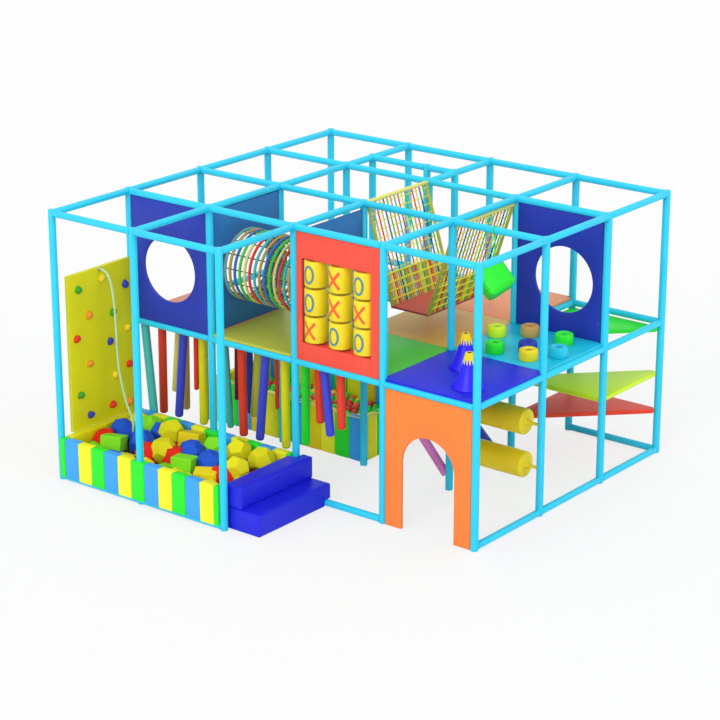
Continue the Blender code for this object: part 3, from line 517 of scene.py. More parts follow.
def many_sided(radius: float) -> Shape:
    """A solid of twelve five sided faces, with slightly rounded edges."""
    golden = (1 + math.sqrt(5)) / 2
    signs = (-1, 1)
    points = [Vector((a, b, c)) for a in signs for b in signs for c in signs]
    for a in signs:
        for b in signs:
            near, far = a / golden, b * golden
            points += [Vector((0, near, far)), Vector((near, far, 0)), Vector((far, 0, near))]
    shape = bmesh.new()
    for point in points:
        shape.verts.new(point.normalized() * radius)
    bmesh.ops.convex_hull(shape, input=shape.verts[:])
    bmesh.ops.dissolve_limit(shape, angle_limit=0.05, verts=shape.verts[:], edges=shape.edges[:])
    return round_edges(shape, 0.005, 1, 0.4)


def raise_sheet(shape: Shape, height: float, edge: float, segments: int = 2) -> Shape:
    """Give a flat sheet a height above it and round its rims."""
    lifted = bmesh.ops.extrude_face_region(shape, geom=shape.faces[:])
    above = [item for item in lifted["geom"] if isinstance(item, bmesh.types.BMVert)]
    bmesh.ops.translate(shape, vec=(0, 0, height), verts=above)
    bmesh.ops.recalc_face_normals(shape, faces=shape.faces)
    return round_edges(shape, edge, segments)


def plate(outline: Sequence[Point], height: float, edge: float = 0.006, segments: int = 2) -> Shape:
    """A plate over a flat outline."""
    shape = bmesh.new()
    shape.faces.new([shape.verts.new((x, y, 0)) for x, y in outline])
    return raise_sheet(shape, height, edge, segments)


def holed_plate(inner: Sequence[Point], outer: Sequence[Point], height: float, edge: float = 0.006) -> Shape:
    """A plate between two outlines that have the same number of points."""
    shape = bmesh.new()
    bmesh.ops.create_circle(shape, segments=len(inner), radius=1.0)
    first = {vert: index for index, vert in enumerate(shape.verts)}
    grown = bmesh.ops.extrude_edge_only(shape, edges=shape.edges[:])
    for vert in [item for item in grown["geom"] if isinstance(item, bmesh.types.BMVert)]:
        index = next(first[end] for link in vert.link_edges for end in link.verts if end in first)
        vert.co = (*outer[index], 0)
    for vert, index in first.items():
        vert.co = (*inner[index], 0)
    return raise_sheet(shape, height, edge)


def circle(radius: float, count: int, centre: Point = (0.0, 0.0)) -> list[Point]:
    """Points round a circle."""
    step = 2 * math.pi / count
    return [(centre[0] + radius * math.cos(k * step), centre[1] + radius * math.sin(k * step))
            for k in range(count)]


def frame_points(inner: Sequence[Point], centre: Point, low: Point, high: Point) -> list[Point]:
    """Points on a rectangle that face the points of an inner loop, corners included."""
    found = []
    for x, y in inner:
        dx, dy = x - centre[0], y - centre[1]
        reach = min(((high[0] if dx > 0 else low[0]) - centre[0]) / dx if abs(dx) > TINY else math.inf,
                    ((high[1] if dy > 0 else low[1]) - centre[1]) / dy if abs(dy) > TINY else math.inf)
        found.append((centre[0] + dx * reach, centre[1] + dy * reach))
    for corner in ((low[0], low[1]), (high[0], low[1]), (high[0], high[1]), (low[0], high[1])):
        nearest = min(range(len(found)), key=lambda k: math.dist(found[k], corner))
        found[nearest] = corner
    return found


class Form:
    """One piece's mesh in the making, with its finishes."""

    def __init__(self, *finishes: Finish) -> None:
        """Start an empty piece with its finishes, the first of them the usual one."""
        self.mesh = bmesh.new()
        self.finishes = finishes

    def add(self, shape: Shape, place: Matrix | None = None, finish: int = 0) -> None:
        """Merge a shape into the piece at its place."""
        if place is not None:
            bmesh.ops.transform(shape, matrix=place, verts=shape.verts)
        for face in shape.faces:
            face.material_index = finish
            face.smooth = True
        holder = bpy.data.meshes.new("holder")
        shape.to_mesh(holder)
        shape.free()
        self.mesh.from_mesh(holder)
        bpy.data.meshes.remove(holder)

    def make(self, name: str, body: str = STRUCTURE, stands_for: Sequence[str] = (), slot: str | None = None,
             fill: float | None = None, creased: float = 40.0) -> bpy.types.Object:
        """Finish the piece.

        Args:
            name: its name.
            body: the body that it moves with.
            stands_for: the solids that it replaces.
            slot: the slot of its finish; not used.
            fill: how full it is where it is padded; not used.
            creased: the angle past which an edge looks sharp.

        Returns:
            The piece's object.
        """
        mesh = bpy.data.meshes.new(name)
        self.mesh.to_mesh(mesh)
        self.mesh.free()
        for finish in self.finishes:
            mesh.materials.append(finish.material())
        mesh.set_sharp_from_angle(angle=math.radians(creased))
        piece = bpy.data.objects.new(name, mesh)
        bpy.context.scene.collection.objects.link(piece)
        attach(piece, body)
        if stands_for:
            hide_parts(*stands_for)
        LOG.info("%s: %d faces on %s", name, len(mesh.polygons), body)
        return piece


def swell(piece: bpy.types.Object, voxel: float, cap: float, pressure: float = 4.0) -> None:
    """Blow up a padded piece's skin by cloth simulation and keep the result.

    Args:
        piece: the piece, whose mesh is replaced by the swollen skin.
        voxel: the size of the skin's faces.
        cap: the furthest that a point may move.
        pressure: the pressure inside.
    """
    scene = bpy.context.scene
    skin = bpy.data.objects.new("skin", piece.data.copy())
    scene.collection.objects.link(skin)
    remesh = skin.modifiers.new("Skin", "REMESH")
    remesh.mode = "VOXEL"
    remesh.voxel_size = voxel
    bpy.context.view_layer.update()
    evaluated = skin.evaluated_get(bpy.context.evaluated_depsgraph_get())
    rest = bpy.data.meshes.new_from_object(evaluated)
    skin.modifiers.clear()
    skin.data = rest
    cloth = skin.modifiers.new("Cloth", "CLOTH")
    settings = cloth.settings
    settings.use_pressure = True
    settings.uniform_pressure_force = pressure
    settings.effector_weights.gravity = 0.0
    settings.quality = CLOTH_QUALITY
    for stiffness in ("tension_stiffness", "compression_stiffness", "shear_stiffness"):
        setattr(settings, stiffness, CLOTH_STIFFNESS)
    for frame in range(1, CLOTH_FRAMES + 1):
        scene.frame_set(frame)
    evaluated = skin.evaluated_get(bpy.context.evaluated_depsgraph_get())
    blown = bpy.data.meshes.new_from_object(evaluated)
    for before, after in zip(rest.vertices, blown.vertices):
        moved = after.co - before.co
        if moved.length > cap:
            after.co = before.co + moved.normalized() * cap
    blown.materials.clear()
    for finish in piece.data.materials:
        blown.materials.append(finish)
    blown.shade_smooth()
    blown.name = piece.data.name
    piece.data = blown
    bpy.data.objects.remove(skin)
    scene.frame_set(1)
    LOG.info("%s swelled to %d faces", piece.name, len(blown.polygons))


# Sub-assemblies


@dataclass
class TubeFrame:
    """Padded tubes of the frame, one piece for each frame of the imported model."""

    finish: Finish = Vinyl(Tint.CYAN, 0.38, grain=0.15)
    tie: float = 0.0016
    tie_inset: float = 0.09
    seam: float = 0.003
    seam_inset: float = 0.015
    butt: float = 0.03
    short_row: float = 3.413
    short_column: float = 1 + 0.8 / BAY

    def sleeve(self, form: Form, start: Vector, end: Vector, radius: float, edge: float = 0.004) -> None:
        """Add one foam sleeve with its zip seam and the ties near its ends."""
        lay = along(start, end)
        length = (end - start).length
        form.add(drum(radius, length, edge=edge), lay)
        form.add(drum(self.seam, length - 2 * self.seam_inset, sides=6, edge=0.0),
                 lay @ shift((-radius * 0.9, -radius * 0.42, self.seam_inset)))
        for level in (self.tie_inset, length - self.tie_inset):
            form.add(hoop(radius, self.tie, 28, 4), lay @ shift((0, 0, level)))

    def post(self, form: Form, across: float, row: float) -> None:
        """Add one post with its rounded cap."""
        x, y = across * BAY, row * BAY
        self.sleeve(form, at(x, y, 0.0), at(x, y, TOP_LEVEL + POST_RADIUS), POST_RADIUS, edge=0.007)

    def rail_x(self, form: Form, row: float, first: float, last: float, level: float) -> None:
        """Add one rail along X between two posts."""
        y = row * BAY
        self.sleeve(form, at(first * BAY + self.butt, y, level), at(last * BAY - self.butt, y, level),
                    RAIL_RADIUS)

    def rail_y(self, form: Form, across: float, first: float, last: float, level: float) -> None:
        """Add one rail along Y between two posts."""
        x = across * BAY
        self.sleeve(form, at(x, first * BAY + self.butt, level), at(x, last * BAY - self.butt, level),
                    RAIL_RADIUS)

    def build(self) -> None:
        """Build every frame and rail line."""
        for line in range(5):
            form = Form(self.finish)
            first = 0 if line in (0, 2) else 1
            for row in range(first, 5):
                self.post(form, line, row)
            tops = [row for row in range(0 if line < 3 else 1, 4) if (line, row) != (2, 2)]
            for row in tops:
                self.rail_y(form, line, row, row + 1, TOP_LEVEL)
            for row in (1, 2, 3):
                self.rail_y(form, line, row, row + 1, MID_LEVEL)
            if line in (1, 2):
                self.post(form, line, self.short_row)
            if line == 2:
                self.post(form, self.short_column, self.short_row)
                self.rail_x(form, self.short_row, 1, self.short_column, TOP_LEVEL)
                self.rail_x(form, self.short_row, self.short_column, 2, TOP_LEVEL)
            if line == 3:
                self.rail_x(form, 1, 2, 3, BASE_LEVEL)
                self.rail_x(form, 4, 3, 4, BASE_LEVEL)
            if line == 4:
                for row in (1, 2, 3):
                    self.rail_y(form, line, row, row + 1, BASE_LEVEL)
            form.make(f"sleeves_x{line}", stands_for=[f"frame_x{line}"], slot="tube_cyan", fill=1.0)
        front = Form(self.finish)
        self.post(front, 1, 0)
        for bay in (0, 1):
            self.rail_x(front, 0, bay, bay + 1, TOP_LEVEL)
            self.rail_x(front, 0, bay, bay + 1, BASE_LEVEL)
        front.make("sleeves_front", stands_for=["front_frame"], slot="tube_cyan", fill=1.0)
        for row in (1, 2, 3, 4):
            for name, level in (("top", TOP_LEVEL), ("mid", MID_LEVEL)):
                form = Form(self.finish)
                for bay in range(4):
                    self.rail_x(form, row, bay, bay + 1, level)
                form.make(f"sleeves_{name}_y{row}", stands_for=[f"{name}_rail_y{row}"], slot="tube_cyan",
                          fill=1.0)


@dataclass
class Decks:
    """Padded deck boards, one to a bay, notched round the posts."""

    bays: tuple[tuple[int, int, Tint], ...] = (
        (0, 1, Tint.SALMON), (1, 1, Tint.OLIVE), (2, 1, Tint.GRASS), (3, 1, Tint.DEEP_BLUE),
        (2, 2, Tint.SAND), (3, 2, Tint.AQUA), (2, 3, Tint.CORAL),
    )
    seam: float = 0.0015
    notch: float = 0.044
    front_set_in: float = 0.0205
    lip: float = 0.0195
    rim: float = 0.004
    sill: float = 0.034
    short_post: float = TubeFrame.short_row * BAY

    def outline(self, column: int, row: int) -> list[Point]:
        """The board's outline, with a notch at each corner."""
        west, east = column * BAY + self.seam, (column + 1) * BAY - self.seam
        south, north = row * BAY + self.seam, (row + 1) * BAY - self.seam
        west -= self.rim if column == 0 else 0
        east += self.sill if (column, row) == (0, 1) else 0
        west += self.sill if (column, row) == (1, 1) else 0
        east += self.rim if column == 3 or (column, row) == (2, 3) else 0
        if row == 1:
            south = BAY + (self.front_set_in if column in (0, 2) else -self.lip)
        north -= self.front_set_in if (column, row) == (3, 2) else 0
        north += self.rim if row == 3 else 0
        west_in, east_in = column * BAY + self.notch, (column + 1) * BAY - self.notch
        south_in, north_in = row * BAY + self.notch, (row + 1) * BAY - self.notch
        around = [
            (west, south_in), (west_in, south_in), (west_in, south), (east_in, south), (east_in, south_in),
            (east, south_in), (east, north_in), (east_in, north_in), (east_in, north), (west_in, north),
            (west_in, north_in), (west, north_in),
        ]
        if (column, row) == (2, 3):
            low, high = self.short_post - self.notch, self.short_post + self.notch
            around += [(west, high), (west_in, high), (west_in, low), (west, low)]
        return around

    def build(self) -> None:
        """Build the seven boards."""
        for column, row, tint in self.bays:
            form = Form(Vinyl(tint, 0.4))
            outline = [at(x, y, 0).xy[:] for x, y in self.outline(column, row)]
            form.add(plate(outline, DECK_TOP - DECK_BOTTOM, 0.005), shift((0, 0, DECK_BOTTOM)))
            node, slot = ("deck_front_row", "blue") if row == 1 else ("deck_back_rows", "tan")
            form.make(f"deck_board_{column}_{row}", stands_for=[node], slot=slot, fill=1.0)


@dataclass
class WallPanels:
    """Four vinyl covered panels with round crawl holes."""

    tunnel_low: float = DECK_TOP + 0.001
    hole: float = 0.392
    rim: float = 0.002
    back_hole_shift: float = 0.055
    hole_level: float = 2.27
    tunnel_level: float = 2.32
    sides: int = 64

    def panel(self, name: str, place: Matrix, low: float, high: float, level: float, tint: Tint, slot: str,
              aside: float = 0.0) -> None:
        """Build one panel round its hole, from a sheet that is drawn flat and then stood up."""
        half = BAY / 2 - PANEL_MARGIN
        form = Form(Vinyl(tint, 0.4))
        loop = circle(self.hole, self.sides, (aside, level))
        outer = frame_points(loop, (aside, level), (-half, low), (half, high))
        stand = place @ turn(90, "X") @ shift((0, 0, -PANEL_THICKNESS / 2))
        form.add(holed_plate(loop, outer, PANEL_THICKNESS, 0.005), stand)
        form.add(hoop(self.hole + self.rim, PANEL_THICKNESS / 2, self.sides, 12),
                 place @ shift((aside, 0, level)) @ turn(90, "X"))
        form.make(f"{name}_skin", stands_for=[name], slot=slot, fill=1.0)

    def build(self) -> None:
        """Build the two navy and the two steel blue panels."""
        for side, column, row, aside in (("front", 0.5, 1, 0.0), ("back", 3.5, 3, self.back_hole_shift)):
            self.panel(f"panel_hole_{side}", put(column * BAY, row * BAY, 0), PANEL_LOW, PANEL_HIGH,
                       self.hole_level, Tint.NAVY, "navy", aside)
        for side, column, high in (("left", 1, 3.04), ("right", 2, 3.014)):
            self.panel(f"panel_tunnel_{side}", put(column * BAY, 1.5 * BAY, 0) @ turn(90, "Z"),
                       self.tunnel_low, high, self.tunnel_level, Tint.STEEL_BLUE, "steel_blue")


class Mark(Enum):
    """The two marks of the game."""

    NOUGHT = "O"
    CROSS = "X"

    def other(self) -> "Mark":
        """The mark on the back of the same spinner."""
        return Mark.CROSS if self is Mark.NOUGHT else Mark.NOUGHT


@dataclass
class Game:
    """The game panel, with nine spinners on three spindles."""

    window: Point = (0.93, 0.94)
    level: float = 2.2875
    centre: float = 2.5 * BAY - 0.02
    radius: float = 0.129
    column_pitch: float = 0.333
    pitch: float = 0.31033
    height: float = 0.3098
    hub: float = 0.02
    set_back: float = 0.066
    spindle: float = 0.0115
    bite: float = 0.01
    shelf: tuple[float, float, float] = (0.954, 0.118, 0.028)
    shelf_gap: float = 0.0015
    shelf_back: float = 0.0795
    clearance: float = 0.0018
    relief: float = 0.0018
    nought_size: Point = (0.132, 0.205)
    cross_size: Point = (0.155, 0.2)
    stroke: float = 0.0125
    rows: tuple[str, ...] = ("OXO", "OXX", "XOO")

    def build_panel(self) -> None:
        """Build the red panel round its window, with two shelves behind it that hold steel spindles."""
        form = Form(Vinyl(Tint.RED_ORANGE, 0.4), Steel(Tint.STEEL))
        half_x, half_z = self.window[0] / 2, self.window[1] / 2
        inner = [(-half_x, self.level - half_z), (half_x, self.level - half_z),
                 (half_x, self.level + half_z), (-half_x, self.level + half_z)]
        west = 2.5 * BAY - self.centre - (BAY / 2 - PANEL_MARGIN)
        east = 2.5 * BAY - self.centre + (BAY / 2 - PANEL_MARGIN)
        outer = [(west, PANEL_LOW), (east, PANEL_LOW), (east, PANEL_HIGH), (west, PANEL_HIGH)]
        stand = put(self.centre, BAY, 0) @ turn(90, "X") @ shift((0, 0, -PANEL_THICKNESS / 2))
        form.add(holed_plate(inner, outer, PANEL_THICKNESS, 0.005), stand)
        for column in (-1, 0, 1):
            x = self.centre + column * self.column_pitch
            low = put(x, BAY + self.set_back, self.level - half_z - self.bite)
            form.add(drum(self.spindle, self.window[1] + 2 * self.bite, 16, 0.0), low, 1)
        for way in (-1, 1):
            level = self.level + way * (half_z + self.shelf_gap + self.shelf[2] / 2)
            form.add(pad(self.shelf, 0.004), put(self.centre, BAY + self.shelf_back, level))
        form.make("game_panel_skin", stands_for=["game_panel"], slot="red_orange", fill=1.0)

    def bend(self, shape: Shape, facing: float) -> Shape:
        """Wrap a flat mark, drawn in X and Y, round the spinner's drum."""
        for vert in shape.verts:
            angle = vert.co.x / self.radius + facing
            reach = self.radius + vert.co.z
            vert.co = Vector((math.sin(angle) * reach, -math.cos(angle) * reach, vert.co.y))
        return shape

    def mark(self, form: Form, kind: Mark, facing: float, level: Matrix, finish: int) -> None:
        """Add one raised mark to a spinner."""
        size = self.nought_size if kind is Mark.NOUGHT else self.cross_size
        wide, tall = size[0] / 2, size[1] / 2
        if kind is Mark.NOUGHT:
            loop, rim = circle(1.0, 28), 2 * self.stroke
            outer = [(x * wide, y * tall) for x, y in loop]
            inner = [(x * (wide - rim), y * (tall - rim)) for x, y in loop]
            form.add(self.bend(holed_plate(inner, outer, self.relief, 0.0), facing), level, finish)
            return
        for way in (-1, 1):
            bar = bmesh.new()
            bmesh.ops.create_grid(bar, x_segments=2, y_segments=8, size=0.5)
            length = math.hypot(wide, tall) * 2 - 0.02
            lean = math.atan2(wide, tall) * way
            spread = Matrix.Rotation(lean, 4, "Z") @ Matrix.Diagonal((self.stroke * 2.3, length, 1.0, 1.0))
            bmesh.ops.transform(bar, matrix=spread, verts=bar.verts)
            raised = raise_sheet(bar, self.relief + way * 0.0002, 0.0)
            form.add(self.bend(raised, facing), level, finish)

    def build_spinner(self, column: int, row: int, kind: Mark) -> None:
        """Build one spinner with its rims, hub rings and both marks."""
        tints = {Mark.NOUGHT: 1, Mark.CROSS: 2}
        form = Form(Moulding(Tint.YELLOW, 0.35), Moulding(Tint.MARK_BLUE, 0.5), Moulding(Tint.MARK_RED, 0.5))
        bottom = self.level - self.window[1] / 2 + self.clearance + row * self.pitch
        place = put(self.centre + (column - 1) * self.column_pitch, BAY + self.set_back, bottom)
        r, h, low, bore = self.radius - 0.002, self.height, self.hub, 0.0135
        form.add(lathe([
            (bore, h), (0.03, h), (0.034, h - 0.004), (r - 0.024, h - 0.004), (r - 0.018, h),
            (r - 0.006, h - 0.004), (r, h - 0.013), (r + 0.001, (low + h) / 2), (r, low + 0.013),
            (r - 0.006, low + 0.004), (r - 0.018, low), (0.036, low), (0.034, low - 0.002), (0.034, 0.001),
            (0.033, 0.0), (bore, 0.0), (bore, h),
        ], 40), place)
        middle = place @ shift((0, 0, (low + h) / 2))
        self.mark(form, kind, 0.0, middle, tints[kind])
        self.mark(form, kind.other(), math.pi, middle, tints[kind.other()])
        name = f"spinner_{column + 1}_{row + 1}"
        form.make(f"{name}_drum", body=name, stands_for=[name], slot="yellow_gloss")

    def build(self) -> None:
        """Build the panel and the nine spinners."""
        self.build_panel()
        for row, marks in enumerate(reversed(self.rows)):
            for column, mark in enumerate(marks):
                self.build_spinner(column, row, Mark(mark))


@dataclass
class ArchDoor:
    """The orange panel with an arched doorway."""

    width: float = 0.685
    spring: float = 0.76
    top: float = 1.543
    steps: int = 24

    def build(self) -> None:
        """Build the panel from its outline, which follows the doorway."""
        half, door = BAY / 2 - PANEL_MARGIN, self.width / 2
        arch = [(x, self.spring + y) for x, y in circle(door, 2 * self.steps)[:self.steps + 1]]
        outline = [(-half, 0.0), (-half, self.top), (half, self.top), (half, 0.0), (door, 0.0), *arch,
                   (-door, 0.0)]
        form = Form(Vinyl(Tint.ORANGE, 0.4))
        stand = put(3.5 * BAY, BAY, 0) @ turn(90, "X") @ shift((0, 0, -PANEL_THICKNESS / 2))
        form.add(plate(outline, PANEL_THICKNESS, 0.005), stand)
        form.make("arch_door_skin", stands_for=["arch_door_panel"], slot="orange", fill=1.0)


@dataclass
class FoamPit:
    """The striped pit wall, the loose foam shapes in it and the steps out of it."""

    face: float = 0.06
    left: float = 0.015
    wall: float = 0.11
    height: float = 0.5
    skirt: float = 0.045
    stripes: tuple[Tint, ...] = (Tint.GREEN, Tint.SKY, Tint.LEMON)
    shape_tints: tuple[Tint, ...] = (Tint.CITRON, Tint.LEAF, Tint.COBALT, Tint.SCARLET, Tint.SUN)
    heap: tuple[tuple[float, float, float, bool, int], ...] = (
        (0.262, 0.7, 0.42, False, 2), (0.43, 0.385, 0.415, True, 1), (0.24, 0.45, 0.37, False, 3),
        (0.655, 0.6, 0.41, False, 2), (0.45, 0.965, 0.43, False, 1), (0.28, 0.975, 0.42, False, 0),
        (0.6, 0.98, 0.38, False, 2), (0.77, 0.97, 0.445, False, 0), (1.08, 0.5, 0.44, False, 0),
        (0.92, 0.42, 0.38, False, 3), (1.25, 0.5, 0.38, False, 3), (1.35, 0.66, 0.43, False, 2),
        (1.08, 0.96, 0.43, True, 4), (1.43, 0.93, 0.41, False, 1), (1.5, 0.38, 0.42, True, 1),
        (1.7, 0.57, 0.42, False, 2), (1.76, 0.98, 0.445, False, 0), (2.11, 0.96, 0.43, False, 0),
        (2.07, 0.6, 0.43, False, 0), (1.88, 0.3, 0.38, True, 4), (1.98, 0.42, 0.36, False, 3),
    )
    low: Point = (0.29, 0.22)
    high: Point = (2.15, 0.97)
    layers: Point = (0.165, 0.28)
    columns: int = 8
    rows: int = 3
    jitter: float = 0.02
    rope_end: Point = (0.45, 0.66)
    hollow: float = 0.2
    hollow_level: float = 0.122
    block: tuple[float, float, float] = (0.25, 0.2, 0.17)
    seed: int = 7

    def stripe_run(self, form: Form, start: Point, end: Point, widths: Sequence[float], first: int,
                   low: float) -> None:
        """Add a run of puffed stripes along one side of the wall.

        Args:
            form: the piece that they belong to.
            start: the outer face's start.
            end: the outer face's end.
            widths: each stripe's width along the run.
            first: the number of the first stripe's colour; the numbers fall from there on a run to the left.
            low: the level of their lower ends.
        """
        begin, finish = Vector(start), Vector(end)
        way = (finish - begin).normalized()
        inward = Vector((-way.y, way.x))
        scale = (finish - begin).length / sum(widths)
        done = 0.0
        for number, width in enumerate(widths):
            span = width * scale
            middle = begin + way * (done + span / 2) + inward * self.wall / 2
            done += span
            shape = pad((span - 0.003, self.wall - 0.008, self.height - low - 0.004), 0.014, 0.006, 3, 3)
            facing = turn(math.degrees(math.atan2(way.y, way.x)), "Z")
            place = put(middle.x, middle.y, (self.height + low) / 2) @ facing
            form.add(shape, place, (first + (number if way.x > -0.5 else -number)) % 3)

    def build_wall(self) -> None:
        """Build the front, left and back stripes."""
        form = Form(*(Vinyl(tint, 0.36) for tint in self.stripes), Vinyl(Tint.CITRON, 0.42))
        left, front, right, back = self.left, -self.face, 2 * BAY - 0.04, BAY + self.wall - self.face
        widths = [0.1 - self.left, *[0.2] * 11, 0.06]
        self.stripe_run(form, (left, front), (right, front), widths, 0, self.skirt)
        self.stripe_run(form, (right, back), (left, back), widths[::-1], 12, 0.001)
        side = (self.wall - 0.008, back - front - 2 * self.wall - 0.003, self.height - 0.001)
        form.add(pad(side, 0.004, 0.0, 5, 2),
                 put(left + self.wall / 2, (front + back) / 2, self.height / 2), 3)
        form.make("foam_pit_stripes", stands_for=["foam_pit_wall"], slot="green", fill=0.9)

    def build_shapes(self) -> None:
        """Heap loose foam shapes over the pit."""
        rng = random.Random(self.seed)
        form = Form(*(Foam(tint, 0.8) for tint in self.shape_tints))
        wide, deep = self.high[0] - self.low[0], self.high[1] - self.low[1]
        for level in self.layers:
            for column in range(self.columns):
                for row in range(self.rows):
                    across = wide * (column + 0.5 * (row % 2)) / (self.columns - 0.5)
                    x = self.low[0] + across + rng.uniform(-self.jitter, self.jitter)
                    y = self.low[1] + deep * row / (self.rows - 1) + rng.uniform(-self.jitter, self.jitter)
                    near = math.dist((x, y), self.rope_end) < self.hollow
                    shape = many_sided(0.118) if near else self.loose_shape(rng.random() > 0.7, rng)
                    place = put(x, y, self.hollow_level if near else level) @ self.tumble(rng)
                    form.add(shape, place, rng.choice((0, 0, 0, 0, 1, 2, 3, 4)))
        for x, y, z, block, finish in self.heap:
            if block:
                lay = turn(rng.uniform(10, 35), "Z") @ turn(rng.uniform(-14, 14), "X")
            else:
                lay = self.tumble(rng)
            form.add(self.loose_shape(block, rng), put(x, y, z) @ lay, finish)
        form.make("foam_pit_shapes", stands_for=["foam_pit_filling"], slot="yellow", fill=1.0, creased=30)

    def tumble(self, rng: random.Random) -> Matrix:
        """Any turn."""
        return turn(rng.uniform(0, 360), "Z") @ turn(rng.uniform(0, 360), "X")

    def loose_shape(self, block: bool, rng: random.Random) -> Shape:
        """One cut foam block or many sided ball."""
        if block:
            return pad(self.block, 0.007, segments=1)
        return many_sided(rng.uniform(0.152, 0.16))

    def build_steps(self) -> None:
        """Build the two vinyl covered slabs, one on the other, notched round the post and the base rail."""
        slabs = (
            ("lower", 2.8395, 0.2498,
             ((2.3402, 0.06, 1.138, 0.0), (2.445, 1.0, 1.168, 0.0), (2.445, 1.1, 1.2645, 0.0715))),
            ("upper", 2.5895, 0.4995, ((2.3402, 0.06, 1.138, 0.2503), (2.445, 1.0, 1.2645, 0.2503))),
        )
        for name, east, top, blocks in slabs:
            form = Form(Vinyl(Tint.DEEP_BLUE, 0.38))
            for west, south, north, low in blocks:
                block = pad((east - west - 0.003, north - south - 0.003, top - low), 0.012, 0.002, 7, 3)
                form.add(block, put((west + east) / 2, (south + north) / 2, (low + top) / 2))
            step = form.make(f"step_{name}", stands_for=["soft_steps"], slot="blue", fill=1.0)
            swell(step, 0.012, 0.003)

    def build(self) -> None:
        """Build the pit."""
        self.build_wall()
        self.build_shapes()
        self.build_steps()


@dataclass
class ClimbingWall:
    """The padded climbing wall with its bolted holds."""

    foot: float = 0.17
    end: float = 1.158
    low: float = 0.5003
    high: float = 2.32
    thickness: float = 0.048
    holds: tuple[tuple[float, float, Tint], ...] = (
        (0.32, 2.14, Tint.FOREST), (0.7, 2.19, Tint.YELLOW), (1.06, 2.03, Tint.NAVY),
        (0.47, 1.81, Tint.AMBER), (0.85, 1.75, Tint.FOREST), (1.08, 1.51, Tint.YELLOW),
        (0.27, 1.58, Tint.SCARLET), (0.79, 1.42, Tint.NAVY), (0.46, 1.24, Tint.AMBER),
        (1.09, 1.07, Tint.SCARLET), (0.86, 1.0, Tint.YELLOW), (0.3, 0.91, Tint.FOREST),
        (0.8, 0.66, Tint.SCARLET), (1.08, 0.62, Tint.AMBER), (0.44, 0.64, Tint.NAVY),
    )
    seed: int = 3

    def build_board(self) -> None:
        """Build the padded board and the rope's eye."""
        form = Form(Vinyl(Tint.CITRON, 0.42), Steel(Tint.STEEL))
        width, height = self.end - self.foot, self.high - self.low
        place = put(0, self.foot + width / 2, self.low + height / 2)
        form.add(pad((self.thickness, width, height), 0.003, 0.0, 5, 3), place)
        eye = put(0.02, ClimbingRope.line, ClimbingRope.head) @ turn(90, "Y")
        form.add(drum(0.021, 0.03, 20, 0.003), eye, 1)
        form.make("climbing_board", stands_for=["climbing_wall"], slot="mustard", fill=1.0)

    def build_holds(self) -> None:
        """Build the moulded holds, each with its bolt."""
        rng = random.Random(self.seed)
        tints = [Tint.FOREST, Tint.YELLOW, Tint.NAVY, Tint.AMBER, Tint.SCARLET]
        form = Form(*(Moulding(tint, 0.5) for tint in tints), Steel(Tint.STEEL))
        for y, z, tint in self.holds:
            hold = ball(1.0, 3)
            squash = (0.038, rng.uniform(0.044, 0.052), rng.uniform(0.038, 0.048))
            lean = rng.uniform(-0.3, 0.3)
            for vert in hold.verts:
                bump = 1 + 0.14 * math.sin(3 * vert.co.y + lean * 9) * math.cos(2.5 * vert.co.z - lean * 5)
                vert.co = Vector((max(vert.co.x, -0.25) * squash[0], vert.co.y * squash[1] * bump,
                                  (vert.co.z + lean * vert.co.x) * squash[2] * bump))
            face = at(0.026, y, z)
            form.add(hold, shift(face + Vector((0.008, 0, 0))), tints.index(tint))
            form.add(drum(0.008, 0.006, 6, 0.001, 1), shift(face + Vector((0.0395, 0, 0))) @ turn(90, "Y"), 5)
        form.make("climbing_holds", slot="mustard")

    def build(self) -> None:
        """Build the board and its holds."""
        self.build_board()
        self.build_holds()


